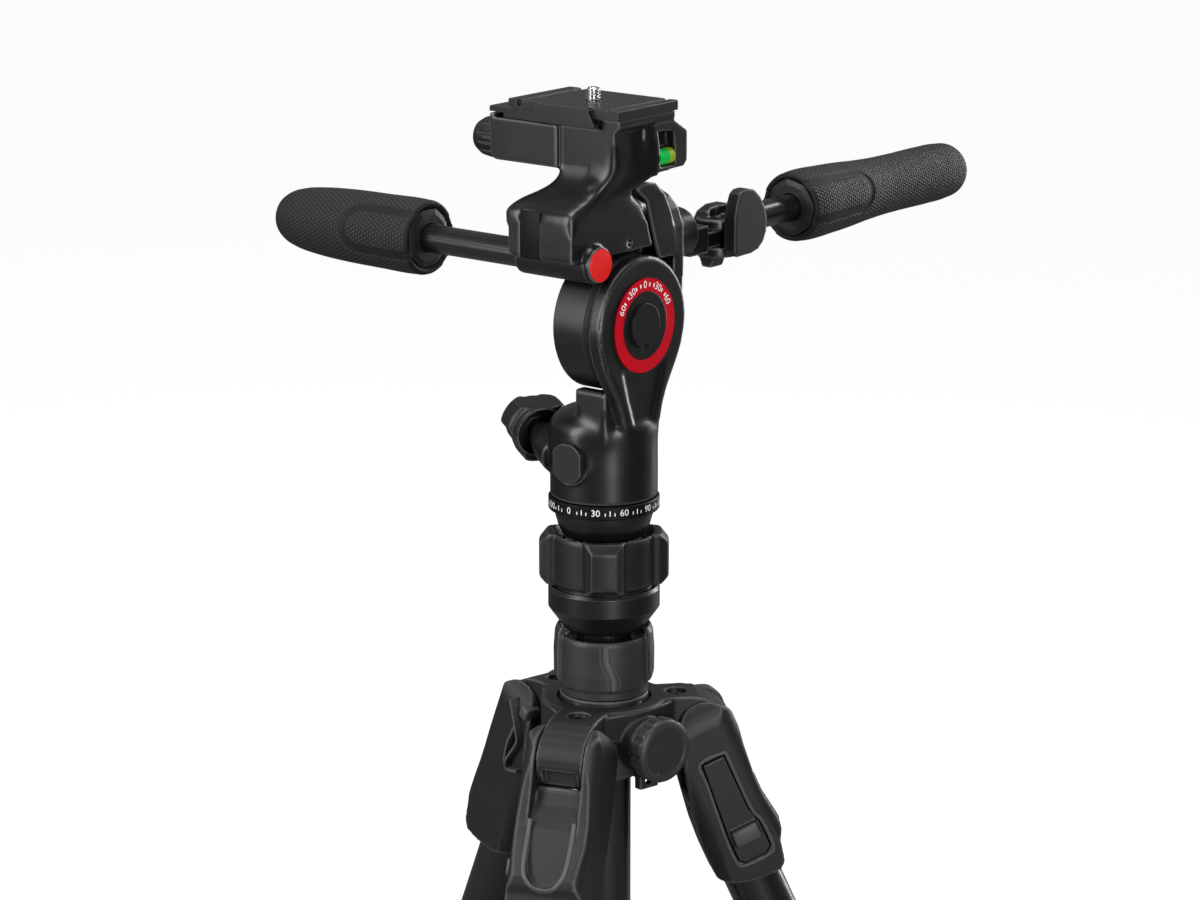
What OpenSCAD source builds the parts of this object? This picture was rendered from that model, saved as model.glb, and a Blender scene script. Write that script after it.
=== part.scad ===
/* [Legs] */
// angle of each leg from vertical in the photo pose, degrees
stance = 24; // [20:1:30]
// hinge pin to foot centre, measured along the leg with all sections pushed in
leg_reach = 400; // [340:5:460]
// tripod hinge pin radius from the column axis
hinge_r = 43; // [42:0.5:46]
// distance of the leg tube axis inward from the hinge pin
leg_inset = 8; // [6:0.5:9]
// outer diameter of the top leg tube
tube_d1 = 25; // [24:0.1:25.4]
// outer diameter of the middle leg tube
tube_d2 = 21.5; // [20:0.1:21.9]
// outer diameter of the bottom leg tube
tube_d3 = 18; // [16:0.1:18.4]
// wall of the leg tubes
tube_wall = 1.3; // [1:0.05:1.5]
// radius of the rubber foot
foot_r = 12; // [10:0.5:14]
// radius of the twist locks on the legs
leg_lock_r = 15.5; // [14.5:0.1:17]
// length of each twist lock
leg_lock_h = 30; // [24:1:36]

/* [Column] */
// outer diameter of the centre column
column_d = 23; // [20:0.1:23.5]
// length of the centre column tube below the levelling cup
column_len = 312; // [260:2:320]
// height of the twist lock above the shoulder casting
column_lock_h = 28; // [24:0.5:32]
// radius of the column twist lock
column_lock_r = 20; // [19:0.1:21]

/* [Levelling base] */
// height of the levelling cup under its clamp ring
cup_h = 19; // [17:0.5:22]
// height of the lobed levelling clamp ring
ring_h = 23; // [20:0.5:26]
// radius of the clamp ring between its lobes
ring_r = 22.5; // [22.3:0.1:24]
// radius over the clamp ring's lobes
ring_lobe_r = 27.5; // [25:0.1:29]
// width of each lobe
ring_lobe_w = 11; // [8:0.5:13]

/* [Head] */
// radius of the pan body
pan_r = 22.7; // [22:0.1:23.2]
// height of the tilt axis above the bottom of the pan body
tilt_rise = 75.1; // [75:0.1:80]
// radius of the tilt drum
drum_r = 29; // [28:0.1:29.3]
// radius of the arm's round end at the tilt axis
hub_r = 28.7; // [27:0.1:28.9]
// outer radius of the red scale ring
scale_ring_r = 19.8; // [18:0.1:21]
// width of the carriage's front block
block_w = 33.6; // [32:0.1:34]

/* [Quick release] */
// length of the plate across the head
plate_w = 57.7; // [54:0.1:60]
// width of the plate front to back
plate_d = 39.7; // [36:0.1:42]
// radius of the camera screw, 1/4 inch thread
screw_r = 3.175; // [3.175:0.001:3.175]
// height of the camera screw above the plate
screw_up = 5; // [4:0.1:6]
// opening travel left for the jaw
jaw_travel = 4; // [3:0.5:4]

/* [Handles] */
// diameter of both handle tubes
bar_d = 12; // [10:0.1:12.4]
// length of the side handle's grip
side_grip_len = 84; // [75:1:90]
// length of the pan bar's grip
bar_grip_len = 129; // [115:1:135]
// radius of both grips at the collar
grip_r = 16; // [14:0.1:16.5]

/* [Fits] */
// radial clearance of running and sliding fits
run_gap = 0.05; // [0.02:0.01:0.1]
// gap between faces that turn past each other
face_gap = 0.3; // [0.2:0.05:0.5]

/* [Hidden] */
$fn = 96;
leg_az = [-71.25, 48.75, 168.75];
hinge_h = leg_reach * cos(stance) + leg_inset * sin(stance) + foot_r;
spider_top = hinge_h + 15.5;
cup_z = spider_top + 2.5 + column_lock_h;
ring_z = cup_z + cup_h + 1;
ball_z = ring_z + 10;
pan_z = ring_z + ring_h - 2.5;
band_z = pan_z + 12;
body_z = band_z + 5.7 + face_gap;
tilt_z = body_z + tilt_rise;
side_z = tilt_z + 27.4;
side_x = -5.5;
handle_y = -24.4;
handle_z = tilt_z + 28.6;
bar_z = tilt_z + 25.9;
clevis_y = 85;
lever_y = 12;
lever_z = -4.3;
tongue_low = -8;
tongue_top = -0.8;
deck_z = tilt_z + 82.8;
plate_x = -5.75;
plate_top = deck_z + 8.8;
arm_x = 14.8;
arm_out = 21.3;
block_x = 14;
lock_az = 152;
lock_el = 12;
lock_at = [-33, -1, tilt_z - 54.15];
ear_w = 20.6;
cheek_in = 10.8;
cast_w = 17.4;
tube_top = 30;
upper_end = leg_reach - 79;
lower_lock = leg_reach - 56;

// a turned shape: polygon of radius and height pairs
module lathe(pts) {
  rotate_extrude($fn = 96) polygon(pts);
}

module rod_x(x0, x1, r) {
  translate([x0, 0, 0]) rotate([0, 90, 0]) cylinder(h = x1 - x0, r = r);
}

module rod_y(y0, y1, r) {
  translate([0, y1, 0]) rotate([90, 0, 0]) cylinder(h = y1 - y0, r = r);
}

// outline in Y and Z, thick along X
module slab_x(x0, x1) {
  translate([x0, 0, 0]) rotate([90, 0, 90]) linear_extrude(x1 - x0) children();
}

// outline in X and Z, thick along Y
module slab_y(y0, y1) {
  translate([0, y1, 0]) rotate([90, 0, 0]) linear_extrude(y1 - y0) children();
}

module block(x0, x1, y0, y1, z0, z1) {
  translate([x0, y0, z0]) cube([x1 - x0, y1 - y0, z1 - z0]);
}

// square with rounded corners, from quarter discs and two bars
module round_rect(x0, x1, y0, y1, r) {
  translate([x0 + r, y0]) square([x1 - x0 - 2 * r, y1 - y0]);
  translate([x0, y0 + r]) square([x1 - x0, y1 - y0 - 2 * r]);
  for (x = [x0 + r, x1 - r]) {
    for (y = [y0 + r, y1 - r]) {
      translate([x, y]) circle(r = r);
    }
  }
}

// local frame of leg k: hinge pin at the origin along Y, leg down -Z, X outward
module at_leg(k) {
  rotate([0, 0, leg_az[k]]) translate([hinge_r, 0, hinge_h]) rotate([0, -stance, 0]) children();
}

// same frame with the leg tube's axis on the local Z axis
module at_tube(k) {
  at_leg(k) translate([-leg_inset, 0, 0]) children();
}

module spider() {
  color([0.07, 0.07, 0.075]) difference() {
    union() {
      translate([0, 0, hinge_h - 14]) cylinder(h = 27.5, r = 25.5);
      translate([0, 0, hinge_h + 2]) cylinder(h = 12.3, r = 27);
      translate([0, 0, hinge_h + 14.3]) cylinder(h = 1.2, r1 = 27, r2 = 25.8);
      translate([0, 0, hinge_h - 19]) cylinder(h = 6, r = 15);
      translate([0, 0, spider_top - 4]) cylinder(h = 6.2, r = 18.9);
      for (k = [0:2]) {
        rotate([0, 0, leg_az[k]]) translate([0, 0, hinge_h]) {
          slab_y(-ear_w / 2, ear_w / 2) {
            polygon([[15, -9], [15, 15.5], [35, 15.5], [40, 14.9], [45, 12.8], [50.8, 9.35], [43, 0],
              [38, -11.1], [22, -12]]);
            translate([hinge_r, 0]) circle(r = 12.2);
          }
          translate([0, 0, 3]) linear_extrude(11.5) polygon([[18, -20], [18, 20], [24, 14.5], [28.5, 10.3],
            [28.5, -10.3], [24, -14.5]]);
        }
      }
      rotate([0, 0, -11.25]) translate([0, 0, hinge_h]) {
        rod_x(20, 31, 11.8);
        slab_x(26, 30) {
          translate([-5, -19]) square([10, 9]);
        }
      }
    }
    translate([0, 0, spider_top - 2.5]) difference() {
      cylinder(h = 3, r = 20.2);
      cylinder(h = 3, r = 18.9);
    }
    translate([0, 0, hinge_h - 30]) cylinder(h = 60, r = column_d / 2 + run_gap);
    for (k = [0:2]) {
      rotate([0, 0, leg_az[k]]) translate([0, 0, hinge_h]) {
        translate([hinge_r, 0, 0]) rod_y(-12, 12, 4);
        translate([31.3, 0, 13]) cylinder(h = 4, r = 4.6);
        translate([31.3, 0, 9]) cylinder(h = 8, r = 2);
        block(52.2, 58, -12, 12, 0.8, 1.8);
        block(51.5, 58, -7.5, 7.5, -8.5, -2);
      }
    }
    rotate([0, 0, -11.25]) translate([0, 0, hinge_h]) {
      rod_x(26.5, 32, 4.8);
      translate([25, 0, -15.5]) rod_x(0, 8, 2);
    }
  }
}

module leg_pivot_bolts() {
  color([0.12, 0.12, 0.12]) for (k = [0:2]) {
    rotate([0, 0, leg_az[k]]) translate([hinge_r, 0, hinge_h]) rod_y(-15.4, 15.4, 4);
  }
}

module accessory_cap() {
  color([0.1, 0.1, 0.105]) rotate([0, 0, -11.25]) translate([0, 0, hinge_h]) rotate([0, 90, 0]) {
    difference() {
      translate([0, 0, 31.2]) lathe([[0, 0], [12.6, 0], [12.6, 1], [11.9, 1.2], [11.9, 2], [13.6, 2.3],
        [13.9, 3], [13.9, 7.6], [13.2, 9], [11.6, 9.8], [10.5, 9.8], [10.3, 9.2], [0, 9.2]]);
      for (a = [0:30:359]) {
        rotate([0, 0, a]) translate([14.6, 0, 33.2]) cylinder(h = 6, r = 1.5);
      }
    }
    translate([0, 0, 26.8]) cylinder(h = 5, r = 4.75);
  }
}

module column_lock_ring() {
  color([0.085, 0.085, 0.09]) translate([0, 0, spider_top + 2.5]) difference() {
    union() {
      lathe([[0, 0], [18.6, 0], [18.6, 3.6], [column_lock_r - 0.7, 4.4], [column_lock_r - 0.5, 10],
        [column_lock_r - 0.7, column_lock_h - 4], [18.7, column_lock_h - 2.5], [0, column_lock_h - 2.5]]);
      for (k = [0:1]) {
        rotate([0, 0, 38.75 + 180 * k]) intersection() {
          lathe([[17.4, 5], [column_lock_r + 0.4, 5.4], [column_lock_r + 1.4, 9], [column_lock_r + 1.5, 19],
            [column_lock_r + 0.9, column_lock_h - 1], [column_lock_r - 0.2, column_lock_h + 1.4],
            [18.8, column_lock_h + 1.4], [18.4, column_lock_h - 1], [17.4, column_lock_h - 3]]);
          linear_extrude(column_lock_h + 4) polygon([[0, 0], [40, -17], [40, 17]]);
        }
      }
    }
    translate([0, 0, -1]) cylinder(h = 40, r = column_d / 2 + run_gap);
    translate([0, 0, column_lock_h - 5.5]) cylinder(h = 3.5, r = 17);
  }
}

module column_tube() {
  color([0.07, 0.07, 0.075]) translate([0, 0, cup_z + 6.5 - column_len]) difference() {
    cylinder(h = column_len, r = column_d / 2);
    translate([0, 0, -1]) cylinder(h = column_len + 2, r = column_d / 2 - 1.6);
  }
}

module column_end_cap() {
  color([0.09, 0.09, 0.095]) translate([0, 0, cup_z + 6.5 - column_len]) {
    difference() {
      union() {
        lathe([[0, -12], [8.5, -12], [10.6, -11], [12.4, -9], [13, -7], [13, -2.4], [12.5, -2], [12.5, -1.2],
          [13, -0.8], [13, 0], [0, 0]]);
        cylinder(h = 10, r = column_d / 2 - 1.6);
      }
      translate([0, 0, 4]) cylinder(h = 10, r = 7);
    }
  }
}

module levelling_cup() {
  color([0.075, 0.075, 0.08]) difference() {
    translate([0, 0, cup_z]) lathe([[0, 0], [16.4, 0], [17.5, 1.2], [22.5, 8], [23.7, 9.8], [23.7, 17.6],
      [22.8, cup_h], [ring_r - 1.7, cup_h], [ring_r - 1.7, cup_h + 10.5], [0, cup_h + 10.5]]);
    translate([0, 0, ball_z]) sphere(r = 20.2);
    translate([0, 0, cup_z - 1]) cylinder(h = 7.5, r = column_d / 2);
    translate([0, 0, cup_z]) cylinder(h = 16, r = 5);
  }
}

module levelling_clamp_ring() {
  color([0.08, 0.08, 0.085]) translate([0, 0, ring_z]) difference() {
    union() {
      lathe([[0, 0.3], [ring_r - 1, 0.3], [ring_r, 1.6], [ring_r, ring_h - 2.4], [ring_r - 0.9, ring_h],
        [0, ring_h]]);
      for (k = [0:3]) {
        rotate([0, 0, 38.75 + 90 * k]) intersection() {
          lathe([[0, 0.3], [ring_lobe_r - 2.4, 0.3], [ring_lobe_r, 3], [ring_lobe_r, ring_h - 4.5],
            [ring_lobe_r - 3, ring_h - 0.6], [0, ring_h - 0.6]]);
          linear_extrude(ring_h) polygon([[ring_r - 4, -ring_lobe_w * 0.85],
            [ring_r + 1, -ring_lobe_w * 0.72], [ring_lobe_r - 1, -ring_lobe_w * 0.5],
            [ring_lobe_r + 2, -ring_lobe_w * 0.5],
            [ring_lobe_r + 2, ring_lobe_w * 0.5], [ring_lobe_r - 1, ring_lobe_w * 0.5],
            [ring_r + 1, ring_lobe_w * 0.72], [ring_r - 4, ring_lobe_w * 0.85]]);
        }
      }
    }
    translate([0, 0, -1]) cylinder(h = 12, r = ring_r - 1.7 + run_gap);
    translate([0, 0, 10]) sphere(r = 19.5);
    translate([0, 0, ring_h - 5.2]) cylinder(h = 5.3, r1 = 19.2, r2 = 22);
  }
}

module ball_seat() {
  color([0.16, 0.15, 0.13]) translate([0, 0, ball_z]) difference() {
    intersection() {
      sphere(r = 19.9);
      block(-30, 30, -30, 30, -13, -2);
    }
    sphere(r = 18.9);
  }
}

module levelling_ball() {
  color([0.2, 0.2, 0.21]) translate([0, 0, ball_z]) {
    intersection() {
      sphere(r = 18.6);
      block(-30, 30, -30, 30, -13.5, 7.5);
    }
    translate([0, 0, 5]) cylinder(h = pan_z - ball_z - 5, r = 12);
  }
}

module pan_base() {
  color([0.08, 0.08, 0.085]) translate([0, 0, pan_z]) {
    lathe([[0, 0], [15.8, 0], [17.1, 0.7], [18.2, 2.2], [19.5, 5.2], [20.6, 9], [21, 12], [0, 12]]);
    translate([0, 0, 11]) cylinder(h = 12.5, r = 9.95);
    translate([0, 0, 11]) cylinder(h = 6.7, r = 20.5);
  }
}

module pan_scale_band() {
  color([0.05, 0.05, 0.055]) translate([0, 0, band_z]) difference() {
    lathe([[0, 0], [23.1, 0], [23.5, 0.5], [23.5, 5.2], [23.1, 5.7], [0, 5.7]]);
    translate([0, 0, -1]) cylinder(h = 8, r = 20.5);
  }
}

module arm_outline() {
  circle(r = hub_r);
  polygon([[-28, -6], [28, -6], [26.4, -12], [23.6, -18], [20, -24], [16.6, -29.5], [13.8, -36],
    [12, -43], [10.4, -50], [8.4, -57], [-8.4, -57], [-10.4, -50], [-12, -43], [-13.8, -36],
    [-16.6, -29.5], [-20, -24], [-23.6, -18], [-26.4, -12]]);
}

// axis of the pan lock screw, local Z pointing away from the body
module at_pan_lock() {
  translate(lock_at) rotate([0, 0, lock_az]) rotate([0, 90 - lock_el, 0]) children();
}

module pan_body() {
  color([0.075, 0.075, 0.08]) difference() {
    union() {
      translate([0, 0, body_z]) lathe([[0, 0], [pan_r, 0], [pan_r, 26.5], [pan_r + 0.5, 29.5], [pan_r, 32],
        [20.4, 34.6], [16.5, 36.8], [12, 38], [0, 38.3]]);
      translate([0, 0, tilt_z]) {
        slab_x(arm_x, arm_out - 0.9) {
          arm_outline();
        }
        slab_x(arm_out - 1.2, arm_out) {
          difference() {
            scale([0.966, 0.966]) arm_outline();
            polygon([[-14, -17.5], [14, -17.5], [10.6, -29], [6.4, -41], [3.4, -44], [-3.4, -44],
              [-6.4, -41], [-10.6, -29]]);
          }
        }
        slab_x(0, arm_x + 1) {
          polygon([[-19, -50], [-19, -27.6], [-18, -26.6], [18, -26.6], [19, -27.6], [19, -50]]);
        }
        slab_x(7, arm_x + 1) {
          polygon([[-12, -56], [-16, -48], [-19, -40], [19, -40], [16, -48], [12, -56]]);
        }
      }
      at_pan_lock() translate([0, 0, -22]) lathe([[0, 0], [9, 0], [8.8, 10], [7.8, 15], [7, 18.6],
        [6.6, 21.2], [0, 21.2]]);
      translate([0, 0, body_z + 17.5]) intersection() {
        slab_y(-24, -16) {
          circle(r = 9.4);
        }
        cylinder(h = 40, r = 23.9, center = true);
      }
    }
    translate([0, 0, tilt_z]) {
      rod_x(-30, arm_x - 0.01, drum_r + 0.9);
      rod_x(arm_x - 1, arm_out - 2, 8 + run_gap);
    }
    translate([0, 0, body_z - 1]) cylinder(h = 7.5, r = 9.95 + run_gap);
    at_pan_lock() translate([0, 0, -16.5]) cylinder(h = 40, r = 3.5 + run_gap);
    translate([0, 0, body_z + 17.5]) slab_y(-40, -22.7) {
      circle(r = 8.9);
    }
  }
}

module pan_access_cap() {
  color([0.09, 0.09, 0.095]) translate([0, 0, body_z + 17.5]) slab_y(-25.2, -22.7) {
    intersection() {
      circle(r = 8.6);
      polygon([[-7.4, -4.5], [-4.5, -8.3], [4.5, -8.3], [7.4, -4.5], [7.4, 4.5], [4.5, 8.3], [-4.5, 8.3],
        [-7.4, 4.5]]);
    }
  }
}

module pan_lock_knob() {
  color([0.095, 0.095, 0.1]) at_pan_lock() {
    translate([0, 0, -16]) cylinder(h = 24, r = 3.5);
    difference() {
      union() {
        lathe([[0, 0], [10.6, 0], [11.2, 0.6], [11.2, 14], [10, 16.4], [8, 17.4], [0, 17.4]]);
        intersection() {
          lathe([[0, 1.2], [13.4, 1.2], [14.8, 2.8], [14.8, 11.6], [12, 15.4], [0, 15.4]]);
          linear_extrude(20) for (k = [0:2]) {
            rotate(120 * k) polygon([[-1, -7.6], [8, -7.6], [12.4, -6.2], [15.4, -3.8], [15.4, 3.8],
              [12.4, 6.2], [8, 7.6], [-1, 7.6]]);
          }
        }
      }
      translate([0, 0, -1]) difference() {
        cylinder(h = 7, r = 10.4);
        cylinder(h = 7, r = 4.2);
      }
    }
  }
}

module tilt_scale_ring() {
  color([0.55, 0.02, 0.05]) translate([0, 0, tilt_z]) difference() {
    rod_x(arm_out, arm_out + 0.5, scale_ring_r);
    rod_x(arm_out - 1, arm_out + 1, 14.4);
  }
}

module tilt_hub_cap() {
  color([0.06, 0.06, 0.065]) translate([0, 0, tilt_z]) difference() {
    union() {
      rod_x(arm_out, arm_out + 0.6, 14.2);
      rod_x(arm_out, arm_out + 1.2, 9.1);
    }
    block(arm_out + 0.4, arm_out + 2, -1.6, 1.6, -10, -7.6);
  }
}

module tilt_drum() {
  color([0.085, 0.085, 0.09]) translate([0, 0, tilt_z]) {
    rotate([0, 90, 0]) translate([0, 0, -4.2]) lathe([[0, 0], [drum_r - 0.8, 0], [drum_r, 0.8],
      [drum_r, 16.2], [drum_r - 1.6, 18.4], [0, 18.4]]);
    rod_x(14, arm_out - 2.1, 8);
  }
}

module ear_outline() {
  translate([side_x, 0]) polygon([[-5.6, 51], [5.6, 51], [12, 48], [17, 43], [19.6, 36], [19.8, 26],
    [19.4, 10], [15, 4], [-15, 4], [-19.4, 10], [-19.4, 26], [-17.5, 36], [-14, 43.5], [-10.5, 48]]);
}

module tilt_yoke() {
  color([0.08, 0.08, 0.085]) translate([0, 0, tilt_z]) difference() {
    union() {
      slab_y(29.3, 36) {
        ear_outline();
      }
      slab_x(12, 14.3) {
        polygon([[17.8, 29], [15.3, 36.6], [11.1, 49.8], [4, 55.2], [6, 56.8], [11, 57.6], [17, 56.4],
          [23.2, 51], [28, 42], [30.4, 30], [30.4, 24], [20, 24]]);
      }
      slab_x(-12, 13.9) {
        polygon([[4, 1], [36, 4], [36, 17], [31, 17.5], [27, 14], [12, 10], [4, 8]]);
      }
      rod_x(-12, -4.2, 17);
      translate([side_x, 0, side_z - tilt_z]) rod_y(35, 43.6, 12);
    }
    rod_x(-4.2, 20, drum_r);
    translate([side_x, 0, side_z - tilt_z]) {
      rod_y(10, 44, 5);
      rod_y(10, 28.9, 8.2);
    }
  }
}

module side_tilt_axle() {
  color([0.5, 0.5, 0.52]) translate([side_x, 0, side_z]) {
    rod_y(22.4, 40, 5);
  }
}

module carriage() {
  zt = tilt_z - 56.6;
  color([0.085, 0.085, 0.09]) difference() {
    union() {
      translate([0, 0, zt]) intersection() {
        slab_x(-30, 30) {
          polygon([[-38.5, 88.3], [-37.7, 86.8], [-34, 86.6], [28.8, 86.6], [28.8, 95], [22, 102],
            [12, 106.5], [4, 110.5], [0.5, 115], [2, 119], [19.6, 121], [19.6, 139.4], [-17.6, 139.4],
            [-17.6, 123], [-18.4, 119.4], [-20.6, 116], [-24.4, 113], [-30, 110.4], [-36, 108],
            [-37.9, 107.2], [-38.5, 106]]);
        }
        slab_y(-50, 40) {
          polygon([[block_x - block_w + 2, 86.6], [block_x - 0.7, 86.6], [block_x, 87.4], [block_x, 109],
            [14.8, 113], [16.8, 117], [18.8, 120.5], [19.5, 124], [19.5, 139.4], [-9, 139.4], [-9, 121.6],
            [-10.6, 117.6], [-13.2, 114.4], [-17, 111.6], [block_x - block_w - 1.6, 109.4],
            [block_x - block_w - 2.4, 107.2], [block_x - block_w - 2.4, 104.5],
            [block_x - block_w, 99], [block_x - block_w, 88.5]]);
        }
      }
      // pod for the vial, sweeping back and out from the neck
      translate([0, 0, zt]) intersection() {
        linear_extrude(150) polygon([[8, -23], [13.9, -20], [17, -9], [20.2, 0], [22, 5.5], [22, 27.8],
          [8, 27.8]]);
        slab_x(0, 30) {
          polygon([[-23, 110.5], [-16, 110], [-8, 111.2], [-3, 112.6], [4, 116], [9, 119.2], [25.5, 119.9],
            [27.8, 122], [27.8, 134.6], [20, 139.4], [1, 139.4], [1, 128.4], [-4, 127], [-10, 123.4],
            [-16, 120.4], [-23, 117.4]]);
        }
      }
      translate([0, 0, zt]) slab_y(-20, 20) {
        polygon([[-44.8, 141.2], [-42.6, 141.2], [-42.6, 139.4], [-9, 139.4], [-9, 121.6], [-42.5, 121.6],
          [-44.8, 124]]);
      }
      translate([0, 0, zt]) slab_y(-17.6, 19.6) {
        polygon([[14.4, 138.4], [19.5, 138.4], [22, 141], [22, 143.8], [9.95, 143.8]]);
      }
      translate([0, handle_y, handle_z]) {
        rod_x(-21.5, 15.4, 8);
        rod_x(15, 18, 7.5);
      }
      translate([side_x, 0, side_z]) rod_y(22.4, 28.9, 7.6);
    }
    translate([0, handle_y, handle_z]) {
      rod_x(-30, -6, bar_d / 2 + run_gap);
      rod_x(17.2, 20, 6.8);
    }
    translate([side_x, 0, side_z]) rod_y(22.3, 40, 5 + run_gap);
    translate([0, 0, zt]) {
      block(-13.5, -2.8, -39, -37.2, 86, 107.4);
      translate([0, -0.3, 90.4]) rod_x(11, 20, 1.6);
      block(15.1, 23, 9.6, 19.6, 121.2, 128.6);
      slab_x(17.5, 23) {
        polygon([[9.6, 128], [19.6, 128], [18.6, 135.4], [8, 136.6]]);
      }
      translate([18.9, 0, 124.9]) rod_y(9, 9.8, 2);
      translate([0, 0, 127]) rod_x(-50, -24, 3 + run_gap);
      block(-34.5, -24, -6, 6, 122.6, 145);
    }
    // room for the yoke's side cheek
    translate([0, 0, tilt_z]) slab_x(10, 24) {
      polygon([[15.9, 28], [12.9, 36], [9.4, 48.6], [1.9, 54], [1.9, 57.6], [10, 59.4], [30, 59.4],
        [30, 28]]);
    }
    translate([side_x, 0, side_z]) rod_y(-16, 22.41, 12);
    translate([0, 0, tilt_z]) rod_x(-14, 23, drum_r + 0.7);
  }
}

module bubble_vial() {
  color([0.1, 0.75, 0.25, 0.7]) translate([18.9, 0, tilt_z + 68.3]) rod_y(9.8, 15.9, 3.5);
}

module vial_end() {
  color([0.6, 0.75, 0.1]) translate([18.9, 0, tilt_z + 68.3]) rod_y(15.9, 19.2, 3.5);
}

module clamp_jaw() {
  zt = tilt_z - 56.6;
  color([0.08, 0.08, 0.085]) translate([0, 0, zt]) difference() {
    union() {
      slab_y(-18.5, 18.5) {
        polygon([[-46, 141.6], [-46, 143.4], [-45.4, 144], [-18, 144], [-21.8, 139.6], [-38.4, 139.6],
          [-38.4, 141.6]]);
      }
      block(-29.9, -27.9, -5, 5, 123.2, 140);
    }
    translate([0, 0, 127]) rod_x(-31, -26, 3 + run_gap);
  }
}

module clamp_knob() {
  color([0.09, 0.09, 0.095]) translate([0, 0, tilt_z + 70.4]) {
    rod_x(-50, -25, 3);
    rotate([0, -90, 0]) difference() {
      translate([0, 0, 45.1]) lathe([[0, 0], [8.2, 0], [8.8, 0.8], [8.9, 13], [8.2, 17.5], [6.6, 20.4],
        [0, 21]]);
      for (a = [0:24:359]) {
        rotate([0, 0, a]) translate([9.6, 0, 46.5]) cylinder(h = 22, r = 1.4);
      }
      translate([0, 0, 44]) cylinder(h = 6, r = 3);
    }
  }
}

module plate() {
  zt = tilt_z - 56.6;
  x0 = plate_x - plate_w / 2;
  x1 = plate_x + plate_w / 2;
  color([0.085, 0.085, 0.09]) translate([0, 0, zt]) difference() {
    union() {
      slab_y(-plate_d / 2, plate_d / 2) {
        polygon([[x0, 144.4], [x0, 147.8], [x0 + 0.4, 148.2], [x0 + 6, 148.2], [x0 + 6.6, 147.5],
          [x0 + 9.4, 147.5], [x0 + 10, 148.2], [x1 - 7, 148.2], [x1 - 6.4, 147.6], [x1 - 4.6, 147.6],
          [x1 - 4, 148.2],
          [x1 - 0.4, 148.2], [x1, 147.8], [x1, 144.2], [9.4, 144.2], [13, 139.8], [-21.4, 139.8],
          [-17.6, 144.4]]);
      }
      slab_y(-plate_d / 2 - 2.4, -plate_d / 2 + 1) {
        polygon([[-17.4, 148.2], [8.8, 148.2], [12.6, 141.6], [11.6, 140.6], [-20.4, 140.6], [-21.2, 141.6]]);
      }
    }
    translate([plate_x, 0, 130]) cylinder(h = 30, r = screw_r + 0.15);
    translate([plate_x, 0, 139]) cylinder(h = 4, r = 9);
    block(x0 + 4.5, x0 + 7.5, -plate_d / 2 - 1, -plate_d / 2 + 1.6, 145, 150);
    block(x1 - 16.5, x1 - 14, -plate_d / 2 - 1, -plate_d / 2 + 1.8, 146, 150);
  }
}

module plate_screw() {
  color([0.8, 0.8, 0.82]) translate([plate_x, 0, plate_top]) {
    translate([0, 0, -6]) cylinder(h = 6, r = screw_r - 0.3);
    cylinder(h = screw_up - 0.5, r = screw_r);
    translate([0, 0, screw_up - 0.5]) cylinder(h = 0.5, r1 = screw_r, r2 = screw_r - 0.5);
    translate([0, 0, -7.9]) cylinder(h = 2.4, r = 8.5);
  }
}

module side_handle_tube() {
  color([0.06, 0.06, 0.065]) translate([0, handle_y, handle_z]) rod_x(-100, -6.4, bar_d / 2);
}

module side_handle_grip() {
  r = grip_r;
  l = side_grip_len;
  color([0.09, 0.09, 0.09]) translate([-74.5, handle_y, handle_z]) rotate([0, -90, 0]) difference() {
    lathe([[0, 0], [r - 0.9, 0], [r - 0.2, 0.7], [r, 2], [r - 0.1, l * 0.3], [r - 0.5, l * 0.55],
      [r - 1.4, l * 0.72], [r - 2.9, l * 0.85], [r - 4.7, l * 0.92], [r - 7.6, l * 0.97],
      [r - 10.6, l * 0.99], [0, l]]);
    translate([0, 0, -1]) cylinder(h = 26.5, r = bar_d / 2);
    translate([0, 0, -1]) cylinder(h = 3, r = 10.8);
  }
}

module side_handle_cap() {
  color([0.75, 0.05, 0.05]) translate([0, handle_y, handle_z]) rod_x(17.2, 18.3, 6.8);
}

module bar_clevis() {
  color([0.08, 0.08, 0.085]) translate([side_x, 0, bar_z]) {
    translate([0, 0, side_z - bar_z]) {
      rod_y(43.9, 50.5, 10.8);
      rod_y(50.5, 51.3, 10.2);
      rod_y(51.3, 58, 10.8);
    }
    difference() {
      union() {
        block(-7, 7, 57, 70, -9, 3);
        block(-4.8, 4.8, 60, clevis_y, tongue_low, tongue_top);
        translate([0, clevis_y, tongue_low]) cylinder(h = tongue_top - tongue_low, r = 5.8);
      }
      translate([0, clevis_y, -20]) cylinder(h = 40, r = 3);
    }
  }
}

module bar_pivot_pin() {
  color([0.3, 0.3, 0.31]) translate([side_x, clevis_y, bar_z - 12.4]) cylinder(h = 15, r = 3);
}

module bar_lever() {
  color([0.09, 0.09, 0.095]) translate([side_x, clevis_y, bar_z]) {
    slab_x(9.6, 15.8) {
      polygon([[-8, -9], [-6, -11.2], [4, -11], [9, -9.8], [12.6, -7], [14.8, -2.6], [15.2, 2.4],
        [13.6, 8], [10, 13.4], [6, 16.6], [2, 17.6], [-2, 17.4], [-4.6, 16], [-6.6, 11.5], [-8, 6]]);
    }
    translate([0, lever_y, lever_z]) rod_x(5, 12.4, 2.2);
  }
}

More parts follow.
